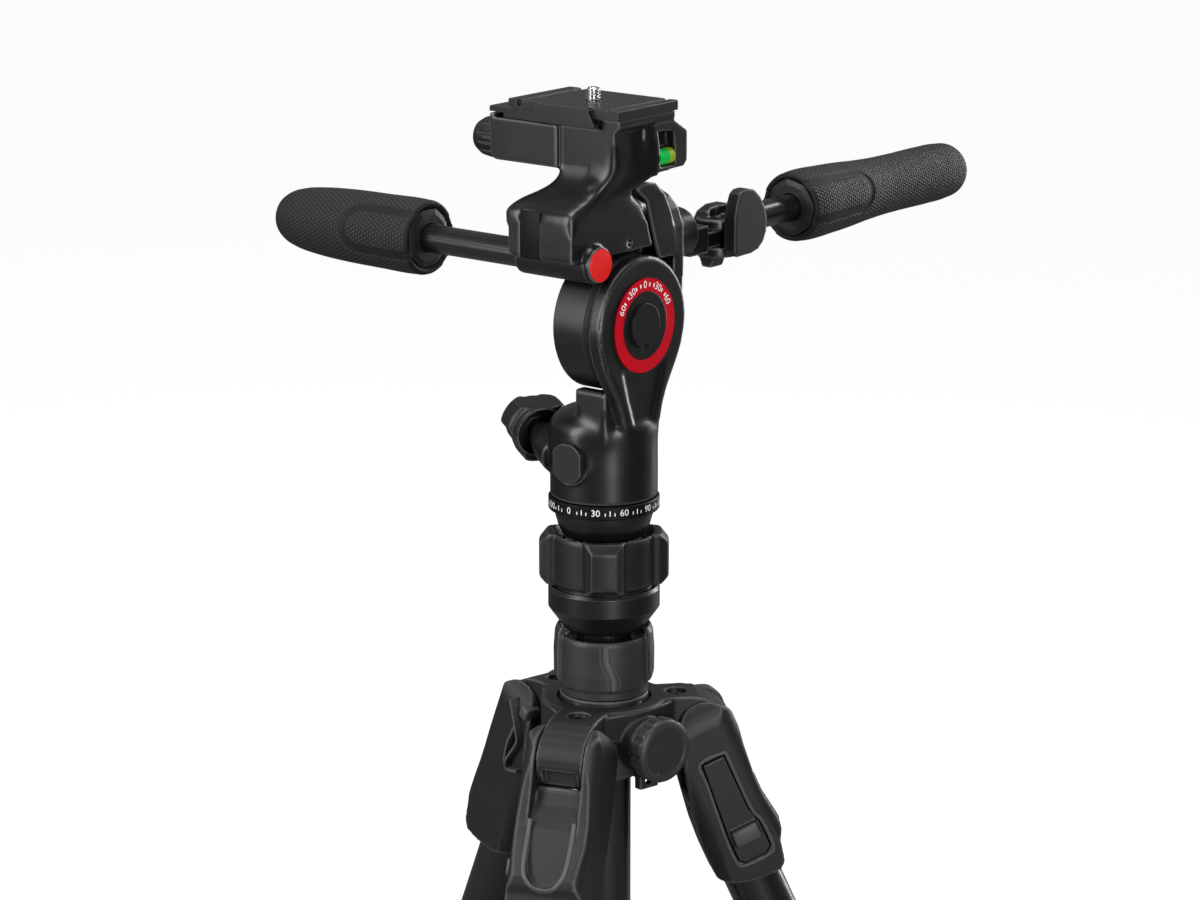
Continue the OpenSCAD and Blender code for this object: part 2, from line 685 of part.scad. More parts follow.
module bar_tube() {
  color([0.06, 0.06, 0.065]) translate([side_x, 0, bar_z]) difference() {
    union() {
      rod_y(clevis_y + 12, 170, bar_d / 2);
      // fork round the clevis tongue
      translate([0, clevis_y, -12.8]) cylinder(h = 16.6, r = 9.2);
      block(-9.2, 9.2, clevis_y, clevis_y + 15, -11.6, 3.8);
      rod_y(clevis_y + 14, clevis_y + 21, 7.6);
      slab_x(-9.2, -1.6) {
        polygon([[clevis_y - 6, 2], [clevis_y - 3, 6], [clevis_y + 3, 8], [clevis_y + 11, 8],
          [clevis_y + 15, 5], [clevis_y + 15, 2]]);
      }
      slab_y(clevis_y - 7.6, clevis_y + 1) {
        polygon([[-4.4, -12], [-2.4, -17.4], [2.4, -17.4], [4.4, -12]]);
      }
    }
    translate([0, clevis_y, tongue_low - face_gap]) {
      cylinder(h = tongue_top - tongue_low + 2 * face_gap, r = 10.6);
    }
    block(-12, 12, clevis_y - 12, clevis_y, tongue_low - face_gap, tongue_top + face_gap);
    translate([0, clevis_y, -12.4]) cylinder(h = 15, r = 3 + run_gap);
    translate([0, clevis_y, 3]) cylinder(h = 9, r = 3.4);
    translate([0, clevis_y + lever_y, lever_z]) rod_x(4.8, 12, 2.2 + run_gap);
  }
}

module bar_grip() {
  r = grip_r;
  l = bar_grip_len;
  color([0.09, 0.09, 0.09]) translate([side_x, 138, bar_z]) rotate([-90, 0, 0]) difference() {
    lathe([[0, 0], [r - 1.5, 0], [r - 0.8, 0.7], [r - 0.4, 4], [r - 0.5, l * 0.2], [r - 1.1, l * 0.3],
      [r - 2, l * 0.4], [r - 2.6, l * 0.5], [r - 2.8, l * 0.62], [r - 2.7, l * 0.8], [r - 3, l * 0.9],
      [r - 4.2, l * 0.96], [r - 7, l * 0.99], [0, l]]);
    translate([0, 0, -1]) cylinder(h = 33, r = bar_d / 2);
    translate([0, 0, -1]) cylinder(h = 3, r = 10.8);
  }
}

module casting(k) {
  color([0.08, 0.08, 0.085]) at_leg(k) difference() {
    intersection() {
      slab_y(-30, 30) {
        circle(r = 13.5);
        polygon([[-13.4, 0], [-14.2, -4], [-16, -10], [-19, -22], [-22, -40], [-23, -52], [-23, -64],
          [-14, -68.5], [-4, -70.5], [3.6, -70.5], [6.4, -68], [7.6, -63], [8.6, -58], [11.2, -54.5],
          [12, -51], [11.4, -46], [10, -36], [10, -27], [11.5, -12], [13.2, -3]]);
      }
      translate([0, 0, -80]) linear_extrude(100) round_rect(-23, 13.6, -cast_w, cast_w, 9);
      slab_x(-40, 40) {
        polygon([[-cast_w, -36], [-cast_w + 1, -72], [cast_w - 1, -72], [cast_w, -36], [cast_w, 3],
          [cast_w - 0.7, 6.6], [cast_w - 2.2, 9.8], [cast_w - 4.4, 12.4], [cast_w - 6.4, 13.6],
          [-cast_w + 6.4, 13.6], [-cast_w + 4.4, 12.4], [-cast_w + 2.2, 9.8], [-cast_w + 0.7, 6.6],
          [-cast_w, 3]]);
      }
    }
    slab_y(-cheek_in, cheek_in) {
      circle(r = 13.6);
      polygon([[-40, 20], [-40, -27], [-13, -27], [-8, -22], [-5, -22], [-5, -13.9], [5, -13.9], [5, -20],
        [9.4, -32], [40, -32], [40, 20]]);
    }
    slab_x(9, 30) {
      polygon([[-9.6, -24], [-9.6, -44], [-8.4, -49.6], [-5.6, -53.6], [-2, -55.2], [2, -55.2],
        [5.6, -53.6], [8.4, -49.6], [9.6, -44], [9.6, -24]]);
    }
    translate([-leg_inset, 0, -90]) cylinder(h = 90 - tube_top, r = tube_d1 / 2);
    rod_y(-15.6, 15.6, 4 + run_gap);
    slab_y(-30, -cast_w + 3.8) {
      polygon([[-9, -10.5], [2, -10.5], [2, -38], [4, -46], [4, -58], [1, -60.5], [-9.5, -60.5], [-12, -58],
        [-12, -46]]);
    }
  }
}

module angle_lever(k) {
  color([0.1, 0.1, 0.105]) at_leg(k) {
    difference() {
      slab_y(-cast_w + 0.2, -cast_w + 2.8) {
        polygon([[-8.3, -11.3], [1.3, -11.3], [1.3, -38], [3.3, -46], [3.3, -57.6], [0.6, -59.8],
          [-9.1, -59.8], [-11.2, -57.8], [-11.2, -46.2]]);
      }
      // thinner below its rocking point, so that it can be pressed
      slab_x(-20, 20) {
        polygon([[-cast_w + 2.5, -36], [-cast_w + 1.4, -50], [-cast_w + 1.3, -61], [0, -61], [0, -36]]);
      }
    }
    slab_y(-cast_w - 2.2, -cast_w + 0.6) {
      polygon([[-9.6, -44], [1.6, -44], [2.2, -51], [-10, -51]]);
    }
    slab_y(-cast_w + 2, -cast_w + 3.6) {
      polygon([[-6, -27], [-1, -27], [-1, -31], [-6, -31]]);
    }
  }
}

module tube_upper(k) {
  color([0.06, 0.06, 0.065]) at_tube(k) difference() {
    translate([0, 0, -upper_end]) cylinder(h = upper_end - tube_top, r = tube_d1 / 2);
    translate([0, 0, -upper_end - 1]) cylinder(h = upper_end - tube_top + 3, r = tube_d1 / 2 - tube_wall);
  }
}

module twist_lock(r_up, r_down, seat) {
  difference() {
    lathe([[0, 0], [r_down + 2.2, 0], [leg_lock_r - 0.8, 1.5], [leg_lock_r - 0.3, 3], [leg_lock_r, 6],
      [leg_lock_r, leg_lock_h - 7], [leg_lock_r - 0.5, leg_lock_h - 3], [leg_lock_r - 2, leg_lock_h],
      [0, leg_lock_h]]);
    translate([0, 0, -1]) cylinder(h = leg_lock_h + 2, r = r_down);
    translate([0, 0, seat]) cylinder(h = leg_lock_h, r = r_up);
    for (a = [0:30:359]) {
      rotate([0, 0, a]) translate([leg_lock_r + 0.9, 0, 4]) cylinder(h = leg_lock_h - 9, r = 1.6);
    }
  }
}

module lock_upper(k) {
  color([0.085, 0.085, 0.09]) at_tube(k) translate([0, 0, -upper_end - 12.4]) {
    twist_lock(tube_d1 / 2 + run_gap, tube_d2 / 2 + run_gap, 12);
  }
}

module tube_mid(k) {
  color([0.07, 0.07, 0.075]) at_tube(k) difference() {
    translate([0, 0, -lower_lock - 18]) cylinder(h = lower_lock + 18 - 52, r = tube_d2 / 2);
    translate([0, 0, -lower_lock - 19]) cylinder(h = lower_lock, r = tube_d2 / 2 - tube_wall);
  }
}

module lock_lower(k) {
  color([0.085, 0.085, 0.09]) at_tube(k) translate([0, 0, -lower_lock - 30]) {
    twist_lock(tube_d2 / 2 + run_gap, tube_d3 / 2 + run_gap, 11.6);
  }
}

module tube_lower(k) {
  color([0.08, 0.08, 0.085]) at_tube(k) difference() {
    translate([0, 0, -leg_reach + 4]) cylinder(h = leg_reach - 74, r = tube_d3 / 2);
    translate([0, 0, -leg_reach + 3]) cylinder(h = leg_reach - 80, r = tube_d3 / 2 - tube_wall);
  }
}

module foot(k) {
  color([0.07, 0.07, 0.07]) at_tube(k) difference() {
    union() {
      translate([0, 0, -leg_reach]) sphere(r = foot_r);
      translate([0, 0, -leg_reach]) cylinder(h = 14, r = tube_d3 / 2 + 2);
    }
    translate([0, 0, -leg_reach + 4]) cylinder(h = 20, r = tube_d3 / 2);
  }
}

spider();
leg_pivot_bolts();
accessory_cap();
column_lock_ring();
column_tube();
column_end_cap();
levelling_cup();
levelling_clamp_ring();
ball_seat();
levelling_ball();
pan_base();
pan_scale_band();
pan_body();
pan_access_cap();
pan_lock_knob();
tilt_scale_ring();
tilt_hub_cap();
tilt_drum();
tilt_yoke();
side_tilt_axle();
carriage();
bubble_vial();
vial_end();
clamp_jaw();
clamp_knob();
plate();
plate_screw();
side_handle_tube();
side_handle_grip();
side_handle_cap();
bar_clevis();
bar_pivot_pin();
bar_lever();
bar_tube();
bar_grip();
casting(0);  // casting_a
tube_upper(0);  // tube_upper_a
lock_upper(0);  // lock_upper_a
tube_mid(0);  // tube_mid_a
lock_lower(0);  // lock_lower_a
tube_lower(0);  // tube_lower_a
foot(0);  // foot_a
angle_lever(0);  // angle_lever_a
casting(1);  // casting_b
tube_upper(1);  // tube_upper_b
lock_upper(1);  // lock_upper_b
tube_mid(1);  // tube_mid_b
lock_lower(1);  // lock_lower_b
tube_lower(1);  // tube_lower_b
foot(1);  // foot_b
angle_lever(1);  // angle_lever_b
casting(2);  // casting_c
tube_upper(2);  // tube_upper_c
lock_upper(2);  // lock_upper_c
tube_mid(2);  // tube_mid_c
lock_lower(2);  // lock_lower_c
tube_lower(2);  // tube_lower_c
foot(2);  // foot_c
angle_lever(2);  // angle_lever_c
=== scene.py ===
import math

import bmesh
import bpy
import numpy as np
from mathutils import Matrix, Vector


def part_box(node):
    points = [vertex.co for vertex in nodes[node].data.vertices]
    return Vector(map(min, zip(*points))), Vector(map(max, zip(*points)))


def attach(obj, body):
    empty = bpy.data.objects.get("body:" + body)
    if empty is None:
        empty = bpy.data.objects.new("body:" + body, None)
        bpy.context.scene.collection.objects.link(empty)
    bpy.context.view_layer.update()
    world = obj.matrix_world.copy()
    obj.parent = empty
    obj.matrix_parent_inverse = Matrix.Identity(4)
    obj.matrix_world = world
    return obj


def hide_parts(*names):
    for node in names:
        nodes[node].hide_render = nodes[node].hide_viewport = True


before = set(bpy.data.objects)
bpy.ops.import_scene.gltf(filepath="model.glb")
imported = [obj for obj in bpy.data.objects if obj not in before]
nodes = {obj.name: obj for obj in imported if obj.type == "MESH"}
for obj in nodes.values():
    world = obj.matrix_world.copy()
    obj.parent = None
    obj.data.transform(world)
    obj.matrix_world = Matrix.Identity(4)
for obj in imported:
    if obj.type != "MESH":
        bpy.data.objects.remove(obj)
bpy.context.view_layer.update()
mm = 0.001
legNames = ("a", "b", "c")


def centreOf(nodeName):
    low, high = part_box(nodeName)
    return (low + high) / 2


def ramp(value):
    # held between 0 and 1
    return min(max(value, 0), 1)


def addObject(name, data):
    item = bpy.data.objects.new(name, data)
    bpy.context.scene.collection.objects.link(item)
    return item


def aroundAxis(r, angle, z):
    # a point from a radius, an angle and a height, in mm
    return Vector((r * math.cos(angle) * mm, r * math.sin(angle) * mm, z * mm))


def sleeveFaces(rings, around):
    # quads between rings of points, each ring closed on itself
    return [(i * around + k, i * around + (k + 1) % around, (i + 1) * around + (k + 1) % around,
             (i + 1) * around + k) for i in range(rings - 1) for k in range(around)]


# colours and materials

def hexToLinear(hexColour):
    channels = [int(hexColour[i:i + 2], 16) / 255 for i in (1, 3, 5)]
    linear = [c / 12.92 if c <= 0.04045 else ((c + 0.055) / 1.055) ** 2.4 for c in channels]
    return (*linear, 1.0)


def addNode(tree, kind, settings=None, links=None):
    # settings: node properties by name, or socket values by input name or number
    # links: input name or number -> output socket
    node = tree.nodes.new(kind)
    for key, value in (settings or {}).items():
        if isinstance(key, str) and hasattr(node, key):
            setattr(node, key, value)
        else:
            node.inputs[key].default_value = value
    for key, source in (links or {}).items():
        tree.links.new(source, node.inputs[key])
    return node


def newMaterial(name):
    material = bpy.data.materials.new(name)
    material.use_nodes = True
    tree = material.node_tree
    tree.nodes.clear()
    output = addNode(tree, "ShaderNodeOutputMaterial")
    return material, tree, output


def grainedBlack(name, look):
    # One black skin: two shades in a slow drift, a fine grain in the bump, and a painted highlight
    # that lightens the edges towards the edge colour.
    material, tree, output = newMaterial(name)
    coords = addNode(tree, "ShaderNodeTexCoord").outputs["Object"]
    drift = addNode(tree, "ShaderNodeTexNoise",
                    {"Scale": 1 / (look["driftMm"] * mm), "Detail": 3.0, "Roughness": 0.6},
                    {"Vector": coords})
    grain = addNode(tree, "ShaderNodeTexNoise",
                    {"Scale": 1 / (look["grainMm"] * mm), "Detail": 2.0, "Roughness": 0.55},
                    {"Vector": coords})
    rounded = addNode(tree, "ShaderNodeBevel", {"samples": 4, "Radius": look["edgeMm"] * mm})
    geometry = addNode(tree, "ShaderNodeNewGeometry")
    facing = addNode(tree, "ShaderNodeVectorMath", {"operation": "DOT_PRODUCT"},
                     {0: rounded.outputs[0], 1: geometry.outputs["Normal"]})
    # painted highlight mask: where the rounded normal turns away from the face's, at the edges
    edge = addNode(tree, "ShaderNodeMapRange",
                   {"From Min": 0.995, "From Max": 0.86, "To Min": 0.0, "To Max": 1.0},
                   {"Value": facing.outputs["Value"]})
    body = addNode(tree, "ShaderNodeMix", {"data_type": "RGBA", 6: hexToLinear(look["dark"]),
                                            7: hexToLinear(look["light"])},
                   {0: drift.outputs["Fac"]})
    # painted highlight on the radii, where the mesh's pointiness shows it sharply curved
    ridge = addNode(tree, "ShaderNodeMapRange",
                    {"From Min": 0.508, "From Max": 0.545, "To Min": 0.0, "To Max": look["ridge"]},
                    {"Value": geometry.outputs["Pointiness"]})
    either = addNode(tree, "ShaderNodeMath", {"operation": "MAXIMUM"},
                     {0: edge.outputs["Result"], 1: ridge.outputs["Result"]})
    paintedEdgeHighlight = addNode(tree, "ShaderNodeMath", {"operation": "MULTIPLY", 1: look["edgeHighlightShare"]},
                   {0: either.outputs[0]})
    # the edge colour mixed in here is the painted edge highlight
    colour = addNode(tree, "ShaderNodeMix", {"data_type": "RGBA", 7: hexToLinear(look["edge"])},
                     {0: paintedEdgeHighlight.outputs[0], 6: body.outputs[2]})
    rough = addNode(tree, "ShaderNodeMapRange",
                    {"From Min": 0.3, "From Max": 0.7,
                     "To Min": look["rough"] - look["roughSpread"],
                     "To Max": look["rough"] + look["roughSpread"]},
                    {"Value": drift.outputs["Fac"]})
    bump = addNode(tree, "ShaderNodeBump",
                   {"Strength": look["bump"], "Distance": look["depthMm"] * mm},
                   {"Height": grain.outputs["Fac"], "Normal": rounded.outputs[0]})
    shader = addNode(tree, "ShaderNodeBsdfPrincipled",
                     {"IOR": look["ior"], "Specular IOR Level": look["specular"]},
                     {"Base Color": colour.outputs[2], "Roughness": rough.outputs["Result"],
                      "Normal": bump.outputs["Normal"]})
    tree.links.new(shader.outputs[0], output.inputs["Surface"])
    return material


# satin black paint baked on the head's die castings: soft wide highlights, a faint orange peel
castLook = {"dark": "#0a0a0b", "light": "#111112", "edge": "#5c5c5e", "edgeHighlightShare": 0.9, "ridge": 0.0,
            "driftMm": 14, "grainMm": 0.55, "depthMm": 0.05, "bump": 0.22, "edgeMm": 0.45,
            "rough": 0.34, "roughSpread": 0.03, "ior": 1.5, "specular": 0.55}
castPaint = grainedBlack("satinPaintOnDieCastAlloy", castLook)
# the same paint on a soft casting, with the painted highlight also on its radii, wherever the mesh
# is sharply curved
softPaint = grainedBlack("satinPaintOnSoftCasting", {**castLook, "ridge": 1.0})
# greyer texture paint on the spider and the leg castings; the grey is partly painted light, lifted
# for the stronger light that falls on the lower parts
legPaint = grainedBlack("texturePaintOnLegCasting", {
    **castLook, "dark": "#1b1b1c", "light": "#232324", "edge": "#606062", "ridge": 0.9,
    "rough": 0.5, "bump": 0.3, "specular": 0.4})

# glass-filled nylon straight from a spark-eroded mould: matt, a sandy grain
nylonLook = {"dark": "#131314", "light": "#1b1b1d", "edge": "#545456", "edgeHighlightShare": 0.8,
             "ridge": 0.0, "driftMm": 9, "grainMm": 0.35, "depthMm": 0.05, "bump": 0.35,
             "edgeMm": 0.4, "rough": 0.45, "roughSpread": 0.03, "ior": 1.5, "specular": 0.45}
mouldedNylon = grainedBlack("sparkGrainedNylon", nylonLook)
softNylon = grainedBlack("sparkGrainedNylonWithRadii", {**nylonLook, "ridge": 0.9})
# the lighter grey nylon of the column lock, the accessory cap and the small blocks on the legs;
# its lighter grey is partly painted light, for the stronger light that falls on the lower parts
greyNylonPaintedLighter = grainedBlack("greySparkGrainedNylonPaintedLighter", {**nylonLook, "dark": "#2a2a2b",
                                                    "light": "#323233", "ridge": 0.9})

# smoother gloss moulding for the hub cap
polishedLook = {**nylonLook, "dark": "#060607", "light": "#0b0b0c", "edge": "#3c3c3e",
                "edgeHighlightShare": 0.6, "grainMm": 0.5, "depthMm": 0.02, "bump": 0.2, "edgeMm": 0.3,
                "rough": 0.36, "roughSpread": 0.02, "specular": 0.4}
polishedNylon = grainedBlack("polishedMouldNylon", polishedLook)

# the block's inlay strip and the printed band: nearly no sheen
inlayNylon = grainedBlack("dullBlackInlay", {
    **polishedLook, "dark": "#040405", "light": "#070708", "edge": "#39393a", "edgeMm": 0.25,
    "rough": 0.5, "specular": 0.2})

# cured rubber: very matt, a little dust in the grain
footRubber = grainedBlack("curedRubber", {
    "dark": "#0c0c0c", "light": "#171717", "edge": "#2c2c2c", "edgeHighlightShare": 0.5, "ridge": 0.0,
    "driftMm": 6, "grainMm": 0.7, "depthMm": 0.12, "bump": 0.6, "edgeMm": 0.5,
    "rough": 0.72, "roughSpread": 0.05, "ior": 1.52, "specular": 0.3})


def drawnTube(name, look):
    # Drawn tube, dyed black in the anodising bath: the die leaves faint lines along it.
    material, tree, output = newMaterial(name)
    coords = addNode(tree, "ShaderNodeTexCoord").outputs["Object"]
    turned = addNode(tree, "ShaderNodeMapping",
                     {"vector_type": "POINT", "Rotation": (0, 0, look["swing"])},
                     {"Vector": coords})
    turned = addNode(tree, "ShaderNodeMapping",
                     {"vector_type": "POINT", "Rotation": look["turn"]},
                     {"Vector": turned.outputs[0]})
    stretched = addNode(tree, "ShaderNodeMapping",
                        {"vector_type": "POINT", "Scale": (1 / (look["lineMm"] * mm),
                                                             1 / (look["lineMm"] * mm), 4.0)},
                        {"Vector": turned.outputs[0]})
    lines = addNode(tree, "ShaderNodeTexNoise", {"Scale": 1.0, "Detail": 3.0, "Roughness": 0.7},
                    {"Vector": stretched.outputs[0]})
    colour = addNode(tree, "ShaderNodeMix",
                     {"data_type": "RGBA", 6: hexToLinear(look["dark"]),
                      7: hexToLinear(look["light"])}, {0: lines.outputs["Fac"]})
    rough = addNode(tree, "ShaderNodeMapRange",
                    {"From Min": 0.3, "From Max": 0.7, "To Min": look["rough"] - 0.05,
                     "To Max": look["rough"] + 0.06}, {"Value": lines.outputs["Fac"]})
    rounded = addNode(tree, "ShaderNodeBevel", {"samples": 4, "Radius": 0.3 * mm})
    bump = addNode(tree, "ShaderNodeBump", {"Strength": 0.25, "Distance": 0.02 * mm},
                   {"Height": lines.outputs["Fac"], "Normal": rounded.outputs[0]})
    shader = addNode(tree, "ShaderNodeBsdfPrincipled",
                     {"IOR": 1.6, "Specular IOR Level": look["specular"], "Coat Weight": 0.15,
                      "Coat Roughness": 0.2},
                     {"Base Color": colour.outputs[2], "Roughness": rough.outputs["Result"],
                      "Normal": bump.outputs["Normal"]})
    tree.links.new(shader.outputs[0], output.inputs["Surface"])
    return material


tubeLook = {"dark": "#060607", "light": "#141416", "lineMm": 1.1, "rough": 0.28,
            "specular": 0.6, "swing": 0}
handleTube = drawnTube("blackAnodisedHandleTube", {**tubeLook, "turn": (0, math.pi / 2, 0)})
barTubeSkin = drawnTube("blackAnodisedBarTube", {**tubeLook, "turn": (math.pi / 2, 0, 0)})
columnSkin = drawnTube("blackAnodisedColumnTube", {**tubeLook, "turn": (0, 0, 0)})


def turnedMetal(name, look):
    # Plated or bare turned steel: the tool's rings are too fine to show, so a small mottle in
    # the shine stands for them.
    material, tree, output = newMaterial(name)
    coords = addNode(tree, "ShaderNodeTexCoord").outputs["Object"]
    mottle = addNode(tree, "ShaderNodeTexNoise",
                     {"Scale": 1 / (look["grainMm"] * mm), "Detail": 2.0}, {"Vector": coords})
    rounded = addNode(tree, "ShaderNodeBevel", {"samples": 4, "Radius": 0.15 * mm})
    bump = addNode(tree, "ShaderNodeBump", {"Strength": 0.2, "Distance": 0.02 * mm},
                   {"Height": mottle.outputs["Fac"], "Normal": rounded.outputs[0]})
    colour = addNode(tree, "ShaderNodeMix",
                     {"data_type": "RGBA", 6: hexToLinear(look["dark"]),
                      7: hexToLinear(look["light"])}, {0: mottle.outputs["Fac"]})
    rough = addNode(tree, "ShaderNodeMapRange",
                    {"To Min": look["rough"] - 0.05, "To Max": look["rough"] + 0.08},
                    {"Value": mottle.outputs["Fac"]})
    shader = addNode(tree, "ShaderNodeBsdfPrincipled", {"Metallic": 1.0},
                     {"Base Color": colour.outputs[2], "Roughness": rough.outputs["Result"],
                      "Normal": bump.outputs["Normal"]})
    tree.links.new(shader.outputs[0], output.inputs["Surface"])
    return material


nickelPlate = turnedMetal("nickelPlatedSteel", {
    "dark": "#c9c9c7", "light": "#f0f0ee", "grainMm": 0.5, "rough": 0.24})
blackedSteel = turnedMetal("blackOxideSteel", {
    "dark": "#2a2a2c", "light": "#46464a", "grainMm": 0.5, "rough": 0.36})
bareSteel = turnedMetal("turnedSteel", {
    "dark": "#77777a", "light": "#a2a2a4", "grainMm": 0.6, "rough": 0.3})


def plainGloss(name, look):
    # Smooth moulded or printed plastic: one clean colour, a slight mould waviness, and a painted
    # glow, an emission in the lighter colour though the part is no lamp.
    material, tree, output = newMaterial(name)
    coords = addNode(tree, "ShaderNodeTexCoord").outputs["Object"]
    wave = addNode(tree, "ShaderNodeTexNoise", {"Scale": 1 / (look["waveMm"] * mm), "Detail": 2.0},
                   {"Vector": coords})
    colour = addNode(tree, "ShaderNodeMix",
                     {"data_type": "RGBA", 6: hexToLinear(look["dark"]),
                      7: hexToLinear(look["light"])}, {0: wave.outputs["Fac"]})
    bump = addNode(tree, "ShaderNodeBump", {"Strength": 0.2, "Distance": 0.03 * mm},
                   {"Height": wave.outputs["Fac"]})
    rough = addNode(tree, "ShaderNodeMapRange",
                    {"To Min": look["rough"] - 0.04, "To Max": look["rough"] + 0.04},
                    {"Value": wave.outputs["Fac"]})
    # the emission is painted light: the part glows though it is no lamp
    shader = addNode(tree, "ShaderNodeBsdfPrincipled",
                     {"IOR": 1.5, "Specular IOR Level": look["specular"],
                      "Emission Color": hexToLinear(look["light"]),
                      "Emission Strength": look["paintedGlow"]},
                     {"Base Color": colour.outputs[2], "Roughness": rough.outputs["Result"],
                      "Normal": bump.outputs["Normal"]})
    tree.links.new(shader.outputs[0], output.inputs["Surface"])
    return material


redPrint = plainGloss("redPrintedFoil", {
    "dark": "#c00018", "light": "#ca0620", "waveMm": 5, "rough": 0.6, "specular": 0.06,
    "paintedGlow": 0.09})
redCap = plainGloss("redAbsCap", {
    "dark": "#e01a1c", "light": "#ee2a26", "waveMm": 4, "rough": 0.35, "specular": 0.35,
    "paintedGlow": 0.12})
paleInk = plainGloss("paleScreenPrint", {
    "dark": "#dcdcdc", "light": "#f2f2f2", "waveMm": 1.5, "rough": 0.5, "specular": 0.3,
    "paintedGlow": 0.25})
acetalShell = plainGloss("naturalAcetal", {
    "dark": "#8d8a83", "light": "#a5a29a", "waveMm": 3, "rough": 0.4, "specular": 0.4,
    "paintedGlow": 0.0})
# spirit in an acrylic vial, green, with a painted glow as though lit from inside
vialLiquid = plainGloss("dyedSpiritInAcrylic", {
    "dark": "#07a03c", "light": "#14cf58", "waveMm": 2.5, "rough": 0.12, "specular": 0.6,
    "paintedGlow": 0.12})
vialPlug = plainGloss("limeAcrylicPlug", {
    "dark": "#7f9a10", "light": "#a8bd1c", "waveMm": 2, "rough": 0.25, "specular": 0.5,
    "paintedGlow": 0.05})


def dimpledRubber(name, look):
    # Soft grip rubber with staggered pips. The pips come from the mesh's map: u counts pips
    # round the grip and v counts rows; the "plain" attribute holds them off smooth bands.
    material, tree, output = newMaterial(name)
    across = addNode(tree, "ShaderNodeSeparateXYZ", None,
                     {0: addNode(tree, "ShaderNodeUVMap", {"uv_map": "pips"}).outputs[0]})
    row = addNode(tree, "ShaderNodeMath", {"operation": "FLOOR"}, {0: across.outputs[1]})
    odd = addNode(tree, "ShaderNodeMath", {"operation": "MULTIPLY", 1: 0.5}, {0: row.outputs[0]})
    shifted = addNode(tree, "ShaderNodeMath", {"operation": "ADD"},
                      {0: across.outputs[0], 1: odd.outputs[0]})
    cell = []
    for source in (shifted.outputs[0], across.outputs[1]):
        part = addNode(tree, "ShaderNodeMath", {"operation": "FRACT"}, {0: source})
        centred = addNode(tree, "ShaderNodeMath", {"operation": "SUBTRACT", 1: 0.5},
                          {0: part.outputs[0]})
        cell.append(centred.outputs[0])
    place = addNode(tree, "ShaderNodeCombineXYZ", None, {0: cell[0], 1: cell[1]})
    reach = addNode(tree, "ShaderNodeVectorMath", {"operation": "LENGTH"}, {0: place.outputs[0]})
    pip = addNode(tree, "ShaderNodeMapRange", {"interpolation_type": "SMOOTHSTEP",
                                                "From Min": 0.5, "From Max": 0.16},
                  {"Value": reach.outputs["Value"]})
    plain = addNode(tree, "ShaderNodeAttribute", {"attribute_name": "plain"})
    keep = addNode(tree, "ShaderNodeMath", {"operation": "SUBTRACT", 0: 1.0, "use_clamp": True},
                   {1: plain.outputs["Fac"]})
    height = addNode(tree, "ShaderNodeMath", {"operation": "MULTIPLY"},
                     {0: pip.outputs[0], 1: keep.outputs[0]})
    coords = addNode(tree, "ShaderNodeTexCoord").outputs["Object"]
    dust = addNode(tree, "ShaderNodeTexNoise", {"Scale": 1 / (0.5 * mm), "Detail": 3.0},
                   {"Vector": coords})
    mixed = addNode(tree, "ShaderNodeMath", {"operation": "MULTIPLY_ADD", 1: 0.12},
                    {0: dust.outputs["Fac"], 2: height.outputs[0]})
    bump = addNode(tree, "ShaderNodeBump", {"Strength": look["bump"],
                                             "Distance": look["pipMm"] * mm},
                   {"Height": mixed.outputs[0]})
    # the colour follows the pips' height: painted highlight on their tops and painted shade
    # between them, with a little random dust tone
    colour = addNode(tree, "ShaderNodeMix",
                     {"data_type": "RGBA", 6: hexToLinear(look["dark"]),
                      7: hexToLinear(look["light"])}, {0: mixed.outputs[0]})
    rough = addNode(tree, "ShaderNodeMapRange",
                    {"To Min": look["rough"] + 0.06, "To Max": look["rough"] - 0.06},
                    {"Value": mixed.outputs[0]})
    shader = addNode(tree, "ShaderNodeBsdfPrincipled",
                     {"IOR": 1.52, "Specular IOR Level": look["specular"]},
                     {"Base Color": colour.outputs[2], "Roughness": rough.outputs["Result"],
                      "Normal": bump.outputs["Normal"]})
    tree.links.new(shader.outputs[0], output.inputs["Surface"])
    return material


gripRubber = dimpledRubber("pippedGripRubber", {"dark": "#0e0e0e", "light": "#343434",
                                                 "bump": 0.75, "pipMm": 0.3, "rough": 0.62,
                                                 "specular": 0.3})
print("materials made")


# mesh helpers

def finishPiece(piece, body, slotName, material):
    piece.data.materials.clear()
    piece.data.materials.append(material)
    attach(piece, body)
    return piece


def meshPiece(name, points, faces, body, slotName, material, smooth=True):
    mesh = bpy.data.meshes.new(name)
    mesh.from_pydata([tuple(p) for p in points], [], faces)
    mesh.validate()
    work = bmesh.new()
    work.from_mesh(mesh)
    bmesh.ops.recalc_face_normals(work, faces=work.faces)
    work.to_mesh(mesh)
    work.free()
    mesh.polygons.foreach_set("use_smooth", [smooth] * len(mesh.polygons))
    if smooth:
        mesh.set_sharp_from_angle(angle=math.radians(38))
    return finishPiece(addObject(name, mesh), body, slotName, material)


def freeze(piece):
    # works the piece's modifiers into its mesh
    graph = bpy.context.evaluated_depsgraph_get()
    mesh = bpy.data.meshes.new_from_object(piece.evaluated_get(graph))
    piece.modifiers.clear()
    old = piece.data
    piece.data = mesh
    bpy.data.meshes.remove(old)


